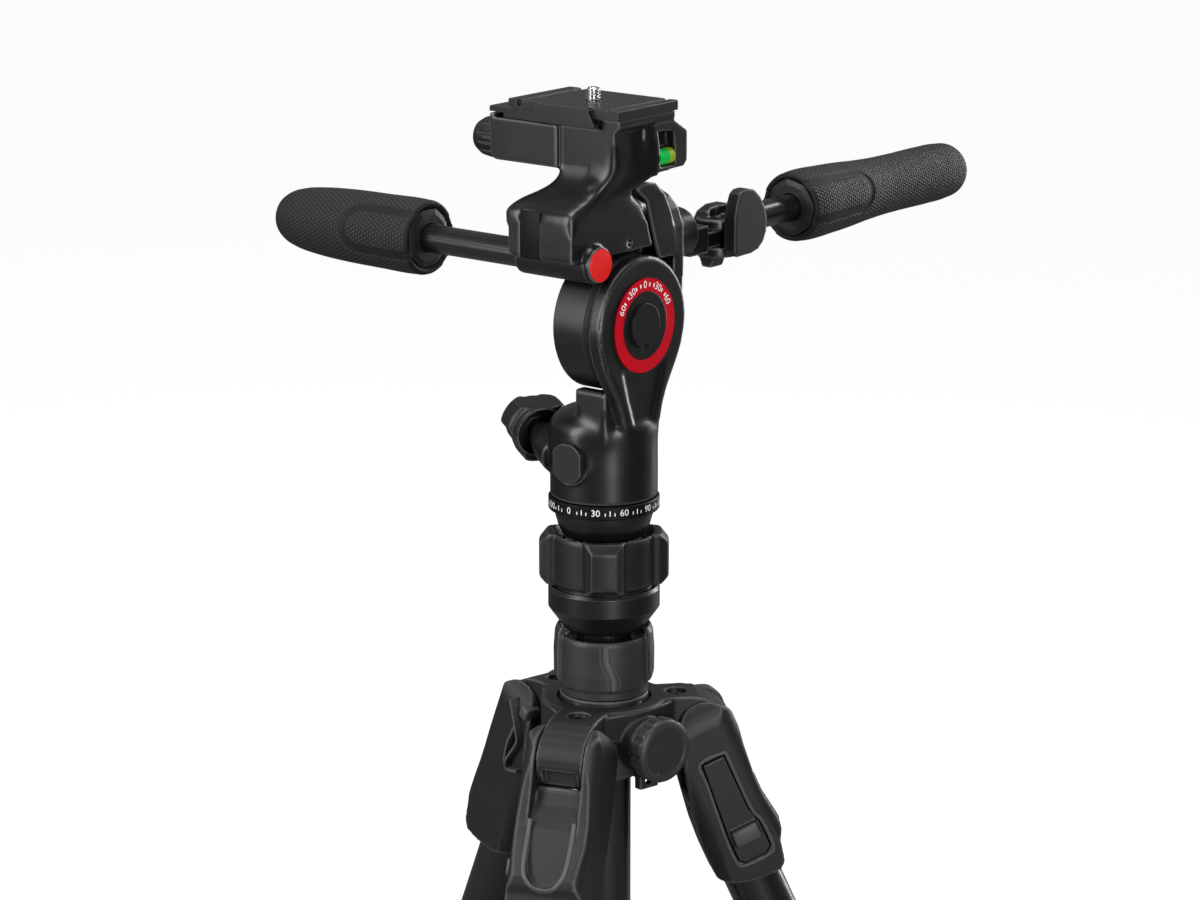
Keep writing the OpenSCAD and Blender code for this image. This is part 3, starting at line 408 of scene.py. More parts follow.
def softCasting(nodeName, body, slotName, material, voxelMm, passes, swoop=None, swoopPasses=0,
                leaveOut=None):
    # The solid again, as a fine even mesh that is smoothed, so its edges get a caster's radii.
    # swoop(point) says, from 0 to 1, where the metal flows more; leaveOut(point) says what
    # another piece makes.
    piece = addObject(nodeName + "Cast", nodes[nodeName].data.copy())
    remesh = piece.modifiers.new("even", "REMESH")
    remesh.mode = "VOXEL"
    remesh.voxel_size = voxelMm * mm
    remesh.adaptivity = 0
    freeze(piece)
    soften = piece.modifiers.new("soften", "SMOOTH")
    soften.factor, soften.iterations = 0.5, passes
    if swoop:
        group = piece.vertex_groups.new(name="swoop")
        for vertex in piece.data.vertices:
            weight = swoop(vertex.co)
            if weight > 0:
                group.add([vertex.index], weight, "REPLACE")
        flow = piece.modifiers.new("flow", "SMOOTH")
        flow.factor, flow.iterations, flow.vertex_group = 0.5, swoopPasses, "swoop"
    freeze(piece)
    piece.vertex_groups.clear()
    if leaveOut:
        work = bmesh.new()
        work.from_mesh(piece.data)
        bmesh.ops.delete(work, geom=[v for v in work.verts if leaveOut(v.co)], context="VERTS")
        work.to_mesh(piece.data)
        work.free()
    piece.data.polygons.foreach_set("use_smooth", [True] * len(piece.data.polygons))
    finishPiece(piece, body, slotName, material)
    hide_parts(nodeName)


def smoothProfile(points, steps):
    # radius and length pairs joined by a smooth curve through all of them
    knots = np.array(points, float)
    along = np.concatenate([[0], np.cumsum(np.hypot(*np.diff(knots, axis=0).T))])
    slopes = np.gradient(knots, along, axis=0)
    out = []
    for t in np.linspace(0, along[-1], steps):
        i = min(np.searchsorted(along, t, side="right") - 1, len(along) - 2)
        h = along[i + 1] - along[i]
        s = (t - along[i]) / h
        out.append((2 * s**3 - 3 * s**2 + 1) * knots[i] + (s**3 - 2 * s**2 + s) * h * slopes[i]
                   + (3 * s**2 - 2 * s**3) * knots[i + 1] + (s**3 - s**2) * h * slopes[i + 1])
    return out


def axisFrame(origin, direction, towards):
    # local Z along direction, local X towards the given side
    z = Vector(direction).normalized()
    x = (Vector(towards) - z * Vector(towards).dot(z)).normalized()
    y = z.cross(x)
    turn = Matrix((x, y, z)).transposed().to_4x4()
    return Matrix.Translation(origin) @ turn


def ribbon(name, path, place, body, slotName, material, widthMm, heightMm, closed=False,
           sink=0.3, sharp=False):
    # A raised bead along a path of (u, v) points in mm; place(u, v, h) puts a point that
    # stands h mm proud of the surface into space.
    section = [(-0.5, -sink), (-0.5, 0.35), (-0.3, 0.85), (0, 1), (0.3, 0.85), (0.5, 0.35),
               (0.5, -sink)]
    if sharp:
        section = [(-0.5, -sink), (-0.5, 0.8), (-0.42, 1), (0.42, 1), (0.5, 0.8), (0.5, -sink)]
    path = [np.array(p, float) for p in path]
    points, faces = [], []
    count, ring = len(path), len(section)
    for i, p in enumerate(path):
        before = path[(i - 1) % count] if closed or i else path[i]
        after = path[(i + 1) % count] if closed or i < count - 1 else path[i]
        way = (after - before) / np.linalg.norm(after - before)
        side = np.array([-way[1], way[0]])
        for a, h in section:
            q = p + side * a * widthMm
            points.append(place(q[0], q[1], h * heightMm))
    for i in range(count if closed else count - 1):
        j = (i + 1) % count
        for k in range(ring):
            n = (k + 1) % ring
            faces.append((i * ring + k, i * ring + n, j * ring + n, j * ring + k))
    if not closed:
        faces.append(tuple(range(ring)))
        faces.append(tuple((count - 1) * ring + k for k in reversed(range(ring))))
    return meshPiece(name, points, faces, body, slotName, material)


def smoothPath(points, steps, closed=False):
    pts = [np.array(p, float) for p in points]
    n = len(pts)
    out = []
    spans = n if closed else n - 1
    for i in range(spans):
        p0 = pts[(i - 1) % n] if closed or i else pts[0]
        p1, p2 = pts[i], pts[(i + 1) % n]
        p3 = pts[(i + 2) % n] if closed or i + 2 < n else pts[-1]
        for k in range(steps):
            t = k / steps
            out.append(0.5 * ((2 * p1) + (p2 - p0) * t + (2 * p0 - 5 * p1 + 4 * p2 - p3) * t * t
                              + (3 * p1 - p0 - 3 * p2 + p3) * t**3))
    if not closed:
        out.append(pts[-1])
    return out


def onCylinder(origin, direction, towards, radiusMm):
    # u runs round the cylinder in mm of arc, v along it
    base = axisFrame(origin, direction, towards)

    def place(u, v, h):
        angle = u / radiusMm
        r = (radiusMm + h) * mm
        return base @ Vector((r * math.cos(angle), r * math.sin(angle), v * mm))
    return place


def onPlane(origin, normal, uWay):
    base = axisFrame(origin, normal, uWay)

    def place(u, v, h):
        return base @ Vector((u * mm, v * mm, h * mm))
    return place


# castings with their soft radii

coarse, fine, finest = 0.7, 0.55, 0.4  # mm between the points of a casting's mesh
tiltHeight = centreOf("tilt_scale_ring").z
# heights are in mm from the tilt axis, and each blend is the mm over which the flow fades
neck = {"split": 6, "rightFoot": 41, "leftFoot": 45, "footBlend": 5, "rightTop": 78,
        "leftTop": 66, "topBlend": 6, "vialFront": 7, "vialFoot": 60, "passes": 180}
shoulder = {"foot": -62, "footBlend": 5, "top": -33, "topBlend": 4, "front": -6, "right": 16.5,
            "uprightFoot": -41, "uprightTop": -16, "uprightFlow": 0.12, "passes": 150}


def neckFlow(point):
    # where the carriage's waist swings from the front block up to the wing
    height = (point.z - tiltHeight) / mm
    side = "right" if point.x > neck["split"] * mm else "left"
    low = ramp((height - neck[side + "Foot"]) / neck["footBlend"])
    high = ramp((neck[side + "Top"] - height) / neck["topBlend"])
    nearVial = point.y > neck["vialFront"] * mm and height > neck["vialFoot"]
    return 0 if nearVial else low * high


def shoulderFlow(point):
    # under the drum's seat the pan body's shoulder runs out in one hollow curve, and the
    # upright's foot runs into it without a ledge
    height = (point.z - tiltHeight) / mm
    low = ramp((height - shoulder["foot"]) / shoulder["footBlend"])
    if point.y < shoulder["front"] * mm and point.x < shoulder["right"] * mm:
        return low * ramp((shoulder["top"] - height) / shoulder["topBlend"])
    foot = ramp((shoulder["uprightFoot"] - height) / shoulder["topBlend"])
    return low * max(foot, shoulder["uprightFlow"] if height < shoulder["uprightTop"] else 0)


barGripLow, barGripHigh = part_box("bar_grip")
barLow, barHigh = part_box("bar_tube")
barMid = Vector(((barGripLow.x + barGripHigh.x) / 2, 0, (barGripLow.z + barGripHigh.z) / 2))
bar = {"radius": 6, "forkLength": 31.5, "overlap": 0.5, "around": 64}
forkEnd = barLow.y + bar["forkLength"] * mm


def pastTheFork(point):
    return point.y > forkEnd


softCasting("carriage", "side", "cast", softPaint, fine, 3, neckFlow, neck["passes"])
softCasting("pan_body", "pan", "cast", softPaint, fine, 4, shoulderFlow, shoulder["passes"])
softCasting("pan_access_cap", "pan", "plastic", softNylon, finest, 2)
softCasting("tilt_yoke", "tilt", "cast", softPaint, coarse, 3)
softCasting("spider", "base", "cast", legPaint, fine, 5)
softCasting("levelling_clamp_ring", "level_ring", "plastic", softNylon, fine, 3)
softCasting("pan_lock_knob", "pan_lock", "plastic", softNylon, fine, 3)
softCasting("bar_clevis", "clevis", "cast", softPaint, fine, 3)
softCasting("bar_tube", "pan_bar", "cast", softPaint, fine, 3, leaveOut=pastTheFork)
softCasting("bar_lever", "clevis_lever", "plastic", softNylon, 0.5, 3)
softCasting("accessory_cap", "accessory_cap", "plastic", greyNylonPaintedLighter, 0.5, 2)
softCasting("column_lock_ring", "column_lock", "plastic", greyNylonPaintedLighter, 0.5, 3)
for leg in legNames:
    softCasting("casting_" + leg, "leg_" + leg, "cast", legPaint, coarse, 4)
    softCasting("angle_lever_" + leg, "angle_lever_" + leg, "plastic", softNylon, finest, 2)

# the drawn tube between the fork's collar and the grip
points = []
for y in (forkEnd - bar["overlap"] * mm, barHigh.y):
    for k in range(bar["around"]):
        angle = 2 * math.pi * k / bar["around"]
        points.append(barMid + Vector((bar["radius"] * math.cos(angle) * mm, y,
                                       bar["radius"] * math.sin(angle) * mm)))
faces = sleeveFaces(2, bar["around"])
faces += [tuple(range(bar["around"])), tuple(bar["around"] + k for k in range(bar["around"]))]
meshPiece("barTubeBody", points, faces, "pan_bar", "tube", barTubeSkin)
print("castings made")


# solids that keep their shape and only take a finish

def dress(nodeName, material):
    mesh = nodes[nodeName].data
    mesh.materials.clear()
    mesh.materials.append(material)


finishes = {
    castPaint: ["levelling_cup", "tilt_drum", "clamp_jaw", "plate", "pan_base"],
    mouldedNylon: ["column_end_cap", "clamp_knob"],
    polishedNylon: ["tilt_hub_cap"], inlayNylon: ["pan_scale_band"],
    columnSkin: ["column_tube"], handleTube: ["side_handle_tube"],
    blackedSteel: ["leg_pivot_bolts", "bar_pivot_pin", "side_tilt_axle"],
    bareSteel: ["levelling_ball"], acetalShell: ["ball_seat"], redPrint: ["tilt_scale_ring"],
    redCap: ["side_handle_cap"], vialLiquid: ["bubble_vial"], vialPlug: ["vial_end"]}
for material, dressed in finishes.items():
    for nodeName in dressed:
        dress(nodeName, material)

legLean = math.radians(24)  # how far each leg leans out of upright
for leg in legNames:
    # the tube's lines run down the leg, whose lowest point says which way it heads
    tube = np.array([v.co for v in nodes["tube_upper_" + leg].data.vertices])
    lowest = tube[tube[:, 2].argmin()]
    heading = math.atan2(lowest[1], lowest[0])
    legTube = drawnTube("blackAnodisedLegTube" + leg.upper(),
                        {**tubeLook, "swing": -heading, "turn": (0, legLean, 0)})
    for part in ("tube_upper_", "tube_mid_", "tube_lower_"):
        dress(part + leg, legTube)
    for part in ("lock_upper_", "lock_lower_"):
        dress(part + leg, mouldedNylon)
    dress("foot_" + leg, footRubber)
print("finishes given")


# grips

def makeGrip(name, look, nodeName, body, origin, direction, towards):
    base = axisFrame(origin, direction, towards)
    profile = smoothProfile(look["profile"], look["rows"])
    around = look["around"]
    points, plain, pips = [], [], []
    run = 0.0
    for i, (r, z) in enumerate(profile):
        if i:
            run += math.hypot(r - profile[i - 1][0], z - profile[i - 1][1])
        for k in range(around):
            angle = 2 * math.pi * k / around
            # distance from the U-shaped bands, one on each side of the grip
            fold = (angle + math.pi / 2) % math.pi - math.pi / 2
            u = abs(fold) * look["radius"]
            bend = look["bandLength"] - look["bandHalf"]
            if z < bend:
                away = abs(u - look["bandHalf"])
            else:
                away = abs(math.hypot(u, z - bend) - look["bandHalf"])
            groove = ramp((look["bandWidth"] / 2 + look["bandFade"] / 2 - away) / look["bandFade"])
            groove = groove * groove * (3 - 2 * groove)
            edge = ramp((look["plainMouth"] - z) / look["mouthFade"])
            tip = ramp((r - look["plainTip"]) / look["tipFade"])
            plain.append(max(groove, edge, 1 - tip))
            rr = r - look["bandDepth"] * groove
            points.append(base @ aroundAxis(rr, angle, z))
            pips.append(run / look["rowMm"])
    rows = len(profile)
    faces = sleeveFaces(rows, around)
    faces.append(tuple(reversed(range(around))))
    faces.append(tuple((rows - 1) * around + k for k in range(around)))
    piece = meshPiece(name, points, faces, body, "grip", gripRubber)
    mesh = piece.data
    layer = mesh.attributes.new("plain", "FLOAT", "POINT")
    layer.data.foreach_set("value", plain)
    uv = mesh.uv_layers.new(name="pips")
    count = look["pipsAround"]
    for polygon in mesh.polygons:
        ks = [mesh.loops[j].vertex_index % around for j in polygon.loop_indices]
        wraps = max(ks) - min(ks) > around / 2
        for j, k in zip(polygon.loop_indices, ks):
            turn = k + around if wraps and k < around / 2 else k
            uv.data[j].uv = (turn / around * count, pips[mesh.loops[j].vertex_index])
    mesh.polygons.foreach_set("use_smooth", [True] * len(mesh.polygons))
    mesh.set_sharp_from_angle(angle=math.radians(50))
    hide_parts(nodeName)

    # the hard bush in the mouth of the grip: eight flats that wander a little
    bush = look["bush"]
    points = []
    sides = bush["sides"] * 3  # three points to a flat, one on its corner
    for r, z in bush["levels"]:
        for k in range(sides):
            wander = 1
            if r > bush["roundTo"]:
                wander += bush["corner"] if k % 3 == 0 else -bush["corner"] / 4
            points.append(base @ aroundAxis(r * wander, 2 * math.pi * k / sides + bush["turn"], z))
    meshPiece(name + "Bush", points, sleeveFaces(len(bush["levels"]), sides), body, "plastic",
              mouldedNylon, smooth=False)


grip = {"around": 224, "pipsAround": 52, "rowMm": 1.62, "bandHalf": 9.5, "bandWidth": 4.2,
        "bandDepth": 0.45, "bandFade": 1.2, "radius": 15.5, "plainMouth": 1.8, "mouthFade": 0.8,
        "plainTip": 2, "tipFade": 3,
        "bush": {"sides": 8, "corner": 0.035, "roundTo": 8, "turn": 0.13,
                 "levels": [(6.15, 0.6), (6.5, -0.05), (10.0, -0.05), (12.2, 0.55), (12.6, 1.6),
                            (12.6, 2.6)]}}
low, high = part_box("side_handle_grip")
length = (high.x - low.x) / mm
sideGrip = {**grip, "rows": 190, "bandLength": 37,  # profile: radius and length from the mouth
            "profile": [(10.8, 2.2), (12.9, 1.9), (13.4, 0.6), (14.4, 0.05), (15.3, 0.4),
                        (15.85, 1.7), (16, 4), (15.9, length * 0.3), (15.5, length * 0.55),
                        (14.6, length * 0.72), (13.1, length * 0.85), (11.3, length * 0.92),
                        (8.4, length * 0.97), (5.0, length * 0.99), (0.6, length * 0.998)]}
makeGrip("sideGrip", sideGrip, "side_handle_grip", "side_handle",
         (high.x, (low.y + high.y) / 2, (low.z + high.z) / 2), (-1, 0, 0), (0, -1, 0.22))

low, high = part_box("bar_grip")
length = (high.y - low.y) / mm
barGrip = {**grip, "rows": 250, "bandLength": 44, "bandHalf": 9.0,
           "profile": [(10.8, 2.2), (12.7, 1.9), (13.0, 0.6), (13.8, 0.05), (14.7, 0.4),
                       (15.3, 1.7), (15.6, 4), (15.5, length * 0.2), (14.9, length * 0.3),
                       (14.0, length * 0.4), (13.4, length * 0.5), (13.2, length * 0.62),
                       (13.3, length * 0.8), (13.0, length * 0.9), (11.8, length * 0.96),
                       (9.0, length * 0.99), (5.0, length * 0.998), (0.6, length)]}
makeGrip("barGrip", barGrip, "bar_grip", "pan_bar",
         ((low.x + high.x) / 2, low.y, (low.z + high.z) / 2), (0, 1, 0), (1, 0, 0.3))
print("grips made")


# camera screw with its thread

# a 1/4 inch thread of 20 turns to the inch; lengths in mm from the plate's top
screw = {"pitch": 1.27, "crest": 3.175, "root": 2.15, "shank": 2.85, "disc": 8.5, "around": 48,
         "perPitch": 10, "foot": -0.4, "flank": 2.2, "flat": 1.25, "lead": 0.7, "point": 0.35}
low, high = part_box("plate_screw")
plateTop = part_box("plate")[1].z
screwAt = Vector(((low.x + high.x) / 2, (low.y + high.y) / 2, plateTop))
around, proud = screw["around"], (high.z - plateTop) / mm
rings = [(0.0, -7.9), (screw["disc"] - 0.5, -7.9), (screw["disc"], -7.4), (screw["disc"], -6.0),
         (screw["disc"] - 0.5, -5.5), (screw["shank"], -5.5), (screw["shank"], -0.6)]
rows = int(proud / screw["pitch"] * screw["perPitch"])
points = [screwAt + aroundAxis(r, 2 * math.pi * k / around, z) for r, z in rings
          for k in range(around)]
for i in range(rows + 1):
    z = screw["foot"] + i * (proud - screw["foot"]) / rows
    for k in range(around):
        phase = (z / screw["pitch"] - k / around) % 1
        ridge = min(max(0, 1 - abs(phase - 0.5) * screw["flank"]) * screw["flat"], 1)
        r = screw["root"] + (screw["crest"] - screw["root"]) * ridge * ramp(
            (proud - z) / screw["lead"])
        if i == rows:
            r = screw["root"] - screw["point"]
        points.append(screwAt + aroundAxis(r, 2 * math.pi * k / around, z))
total = len(points) // around
faces = sleeveFaces(total, around)
faces.append(tuple((total - 1) * around + k for k in range(around)))
threaded = meshPiece("cameraScrewThread", points, faces, "screw", "screw", nickelPlate)
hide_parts("plate_screw")
print("camera screw made")


# printed scales: plain degree marks and numbers

def printedScale(name, look, body, place):
    # short pale bars and numbers; place(u, v, h) takes u in degrees round and v in mm
    thick = look["thick"]
    points, faces = [], []
    for step in range(look["from"], look["to"] + 1, look["every"]):
        fromNumber = (step - look["from"]) % look["numberEvery"]
        if min(fromNumber, look["numberEvery"] - fromNumber) < look["clear"]:
            continue
        tall = look["long"] if step % look["majorEvery"] == 0 else look["short"]
        wide = look["wide"]
        corners = [(-wide, 0), (wide, 0), (wide, tall), (-wide, tall)]
        first = len(points)
        for h in (-0.05, thick):
            for du, dv in corners:
                points.append(place(step + du, look["foot"] + look["grow"] * dv, h))
        faces += [tuple(first + c for c in face) for face in
                  ((0, 1, 2, 3), (4, 5, 6, 7), (0, 1, 5, 4), (1, 2, 6, 5), (2, 3, 7, 6),
                   (3, 0, 4, 7))]
    for step in range(look["from"], look["to"] + 1, look["numberEvery"]):
        curve = bpy.data.curves.new("number", "FONT")
        curve.body = str(abs(step) % 360)
        curve.align_x, curve.align_y = "CENTER", "CENTER"
        curve.size = look["size"]
        curve.resolution_u = 3
        holder = addObject("number", curve)
        bpy.context.view_layer.update()
        graph = bpy.context.evaluated_depsgraph_get()
        flat = bpy.data.meshes.new_from_object(holder.evaluated_get(graph))
        first = len(points)
        for vertex in flat.vertices:
            points.append(place(step + vertex.co.x / look["mmPerDegree"],
                                look["numberAt"] + vertex.co.y, thick))
        faces += [tuple(first + c for c in p.vertices) for p in flat.polygons]
        bpy.data.objects.remove(holder)
        bpy.data.curves.remove(curve)
        bpy.data.meshes.remove(flat)
    return meshPiece(name, points, faces, body, look["slot"], paleInk, smooth=False)


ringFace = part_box("tilt_scale_ring")[1].x


def onTiltRing(angle, radius, h):
    # seen from the +X side: 0 degrees is straight up and angles run clockwise
    a = math.radians(90 - angle)
    return Vector((ringFace + h * mm, radius * math.cos(a) * mm,
                   tiltHeight + radius * math.sin(a) * mm))


tiltScale = {"from": -60, "to": 60, "every": 10, "majorEvery": 10, "numberEvery": 30,
             "clear": 10, "long": 1.6, "short": 1.6, "wide": 1.3, "foot": 17.9, "grow": -1,
             "numberAt": 17.1, "size": 4.4, "mmPerDegree": 0.297, "thick": 0.04,
             "slot": "red"}
printedScale("tiltScaleMarks", tiltScale, "pan", onTiltRing)

bandLow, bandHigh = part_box("pan_scale_band")
bandRadius = (bandHigh.x - bandLow.x) / 2 / mm


def onPanBand(angle, height, h):
    # 0 degrees is at the front, and angles run to the right as seen from outside
    a = math.radians(angle - 90)
    r = (bandRadius + h) * mm
    return Vector((r * math.cos(a), r * math.sin(a), bandLow.z + height * mm))


panScale = {"from": 0, "to": 355, "every": 5, "majorEvery": 15, "numberEvery": 30,
            "clear": 9, "long": 2.2, "short": 1.3, "wide": 0.5, "foot": 1.9, "grow": 1,
            "numberAt": 3.0, "size": 4.0, "mmPerDegree": 0.41, "thick": 0.03,
            "slot": "band"}
printedScale("panScaleMarks", panScale, "level_ball", onPanBand)
print("scales printed")


# small fasteners

# shares of every head's rise and depth, and the mm it sits into its seat
head = {"drop": 0.55, "rimFrom": 0.96, "rim": 0.55, "ramp": 0.6, "sunk": 0.3}


def crossScrew(name, look, place, body, slotName, material):
    # a domed head with a cross recess, drawn on a fine square grid inside a circle
    points, faces, index = [], [], {}
    half, cells = look["radius"], look["cells"]

    def onDisc(i, k):
        # the square grid pressed into a disc
        x, y = i / cells, k / cells
        return x * math.sqrt(1 - y * y / 2) * half, y * math.sqrt(1 - x * x / 2) * half

    for i in range(-cells, cells + 1):
        for k in range(-cells, cells + 1):
            u, v = onDisc(i, k)
            r = math.hypot(u, v)
            dome = look["rise"] * (1 - (r / half) ** 2 * head["drop"])
            if r > half * head["rimFrom"]:
                dome *= head["rim"]
            inner, outer = sorted((abs(u), abs(v)))
            if inner < look["slot"] and outer < look["reach"]:
                dome -= look["deep"] * (1 - outer / look["reach"] * head["ramp"])
            index[i, k] = len(points)
            points.append(place(u, v, dome))
    for i in range(-cells, cells):
        for k in range(-cells, cells):
            faces.append((index[i, k], index[i + 1, k], index[i + 1, k + 1], index[i, k + 1]))
    rim = ([(i, -cells) for i in range(-cells, cells)] + [(cells, k) for k in range(-cells, cells)]
           + [(i, cells) for i in range(cells, -cells, -1)]
           + [(-cells, k) for k in range(cells, -cells, -1)])
    first = len(points)
    points += [place(*onDisc(i, k), -head["sunk"]) for i, k in rim]
    for n, (i, k) in enumerate(rim):
        m = (n + 1) % len(rim)
        faces.append((index[rim[m]], index[i, k], first + n, first + m))
    faces.append(tuple(first + n for n in range(len(rim))))
    return meshPiece(name, points, faces, body, slotName, material)


earScrew = {"radius": 3.5, "rise": 1.5, "slot": 0.42, "reach": 2.1, "deep": 1.1, "cells": 26,
            "ring": 31.3, "aboveHinge": 13.0}
hingeHeight = centreOf("leg_pivot_bolts").z
legHeading = {}
for leg in legNames:
    foot = centreOf("foot_" + leg)
    legHeading[leg] = math.atan2(foot.y, foot.x)
    way = Vector((math.cos(legHeading[leg]), math.sin(legHeading[leg]), 0))
    spot = way * earScrew["ring"] * mm + Vector((0, 0, hingeHeight + earScrew["aboveHinge"] * mm))
    crossScrew("earScrew" + leg.upper(), earScrew, onPlane(spot, (0, 0, 1), way), "base", "steel",
               blackedSteel)

# "at" is the set screw's seat on the block's right side, its height from the tilt axis
setScrew = {"radius": 1.45, "rise": 0.4, "slot": 0.3, "reach": 0.85, "deep": 0.5, "cells": 16,
            "at": (12.4, -0.3, 33.8)}
seat = Vector(setScrew["at"]) * mm + Vector((0, 0, tiltHeight))
crossScrew("blockSetScrew", setScrew, onPlane(seat, (1, 0, 0), (0, 1, 0)), "side", "steel",
           nickelPlate)
print("screws made")


# inlay strip on the block's front

def softBlock(name, low, high, radiusMm, body, slotName, material, segments=3):
    work = bmesh.new()
    bmesh.ops.create_cube(work, size=1)
    for vertex in work.verts:
        vertex.co = Vector([(low[i] + high[i]) / 2 + vertex.co[i] * (high[i] - low[i])
                            for i in range(3)]) * mm
    bmesh.ops.bevel(work, geom=list(work.edges), offset=radiusMm * mm, segments=segments,
                    profile=0.5, affect="EDGES")
    mesh = bpy.data.meshes.new(name)
    work.to_mesh(mesh)
    work.free()
    mesh.polygons.foreach_set("use_smooth", [True] * len(mesh.polygons))
    mesh.set_sharp_from_angle(angle=math.radians(40))
    return finishPiece(addObject(name, mesh), body, slotName, material)


inlay = {"left": -13.3, "right": -3.0, "front": -38.25, "back": -37.6, "foot": 30.2, "top": 50.2,
         "radius": 0.25}
tiltMm = tiltHeight / mm
softBlock("blockInlay", (inlay["left"], inlay["front"], tiltMm + inlay["foot"]),
          (inlay["right"], inlay["back"], tiltMm + inlay["top"]), inlay["radius"], "side",
          "plastic", inlayNylon)


# ribs on the pan lock knob's lobes

# "at" is the knob's root from the tilt axis; it points along azimuth and elevation
knob = {"lobes": 3, "ribs": 5, "spread": 2.9, "from": 3.6, "middle": 7, "to": 10.8, "wide": 0.7,
        "tall": 0.35, "radius": 14.6, "at": (-33, -1, -54.15), "azimuth": 152, "elevation": 12}
knobAz, knobEl = math.radians(knob["azimuth"]), math.radians(knob["elevation"])
knobWay = (math.cos(knobAz) * math.cos(knobEl), math.sin(knobAz) * math.cos(knobEl),
           math.sin(knobEl))
knobSide = (math.cos(knobAz) * math.sin(knobEl), math.sin(knobAz) * math.sin(knobEl),
            -math.cos(knobEl))
place = onCylinder(Vector(knob["at"]) * mm + Vector((0, 0, tiltHeight)), knobWay, knobSide,
                   knob["radius"])
for lobe in range(knob["lobes"]):
    middle = 2 * math.pi / knob["lobes"] * lobe * knob["radius"]
    for rib in range(knob["ribs"]):
        u = middle - knob["spread"] + 2 * knob["spread"] * rib / (knob["ribs"] - 1)
        ribbon(f"knobRib{lobe}{rib}", [(u, knob[v]) for v in ("from", "middle", "to")], place,
               "pan_lock", "plastic", mouldedNylon, knob["wide"], knob["tall"])


# S-shaped bead down the front and back of the column lock

# bends: share of the sideways shift and height; beads: offset, width, height, flat on top
column = {"radius": 19.35, "heading": math.radians(-51.25), "start": 0.9, "shift": 3.4,
          "bends": [(0, 24.2), (0, 21), (0.04, 17.5), (0.5, 13.4), (0.95, 9.5), (1, 7), (1, 4.8)],
          "beads": {"Middle": (0, 2.3, 0.55, True), "Left": (-2.5, 0.6, 0.4, False),
                    "Right": (2.5, 0.6, 0.4, False)}}
place = onCylinder(Vector((0, 0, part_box("column_lock_ring")[0].z)), (0, 0, 1),
                   (math.cos(column["heading"]), math.sin(column["heading"]), 0),
                   column["radius"])
for half in range(2):
    turn = half * math.pi * column["radius"] + column["start"]
    for bead, (offset, wide, tall, flat) in column["beads"].items():
        way = smoothPath([(turn + offset + share * column["shift"], height)
                          for share, height in column["bends"]], 5)
        ribbon(f"columnLockBead{half}{bead}", way, place, "column_lock", "plastic",
               greyNylonPaintedLighter, wide, tall, sharp=flat)
print("knob ribs and lock beads made")


# leaf spring and pawl on the near cheek of leg c, and the small blocks on every leg

# paths and blocks in mm in the leg's own frame: x out, y across, z up the leg
spring = {"leg": "c", "thick": 1.1, "inner": 16.6, "outer": 20.6, "steps": 4,
          "front": [(-0.7, 8.7), (-3.6, 5.0), (-6.8, 1.1), (-9.9, -2.9), (-11.9, -6.1),
                    (-11.2, -10.9), (-9.7, -16.0), (-9.1, -19.8), (-10.8, -22.4), (-17.4, -19.0)],
          "back": [(-7.9, -1.3), (-7.4, -5.7), (-6.9, -10.1), (-7.2, -14.7), (-8.1, -18.8),
                   (-9.3, -21.1), (-11.3, -22.8)]}
hingeReach = 43  # mm from the column's middle to a leg's hinge


def legPoint(leg, x, y, z):
    heading = legHeading[leg]
    out = hingeReach + x * math.cos(legLean) - z * math.sin(legLean)
    up = x * math.sin(legLean) + z * math.cos(legLean)
    return Vector(((out * math.cos(heading) - y * math.sin(heading)) * mm,
                   (out * math.sin(heading) + y * math.cos(heading)) * mm,
                   hingeHeight + up * mm))


for side in ("front", "back"):
    leg = spring["leg"]
    path = smoothPath(spring[side], spring["steps"])
    points = []
    for i, point in enumerate(path):
        way = path[min(i + 1, len(path) - 1)] - path[max(i - 1, 0)]
        half = np.array([-way[1], way[0]]) / np.linalg.norm(way) * spring["thick"] / 2
        for at, y in ((point - half, "inner"), (point + half, "inner"), (point + half, "outer"),
                      (point - half, "outer")):
            points.append(legPoint(leg, at[0], spring[y], at[1]))
    faces = sleeveFaces(len(path), 4)
    faces += [(0, 1, 2, 3), tuple(4 * len(path) - 4 + k for k in range(4))]
    meshPiece("returnSpring" + side.title(), points, faces, "leg_" + leg, "cast", legPaint)

# small moulded blocks, each from two corners, with one edge radius
legBlocks = {"anglePawl": ((-12.0, 11.6, 4.4), (-6.8, 19.4, 9.6)),
             "hingeShim": ((-4.5, -10.6, -15.6), (4.5, 10.6, -12.5)),
             "leverTab": ((-9.9, -20.4, -51.2), (1.9, -17.0, -44.0)), "radius": 0.9}


def legBlock(kind, ending, leg, body):
    low, high = legBlocks[kind]
    block = softBlock(kind + ending, low, high, legBlocks["radius"], body, "plastic", greyNylonPaintedLighter)
    for vertex in block.data.vertices:
        vertex.co = legPoint(leg, *(vertex.co / mm))


legBlock("anglePawl", "", spring["leg"], "leg_" + spring["leg"])
for leg in legNames:
    legBlock("hingeShim", leg.upper(), leg, "leg_" + leg)
    legBlock("leverTab", leg.upper(), leg, "angle_lever_" + leg)
print("spring, pawl and leg blocks made")


# raised lips on the leg castings: along the U and round the lever's pocket

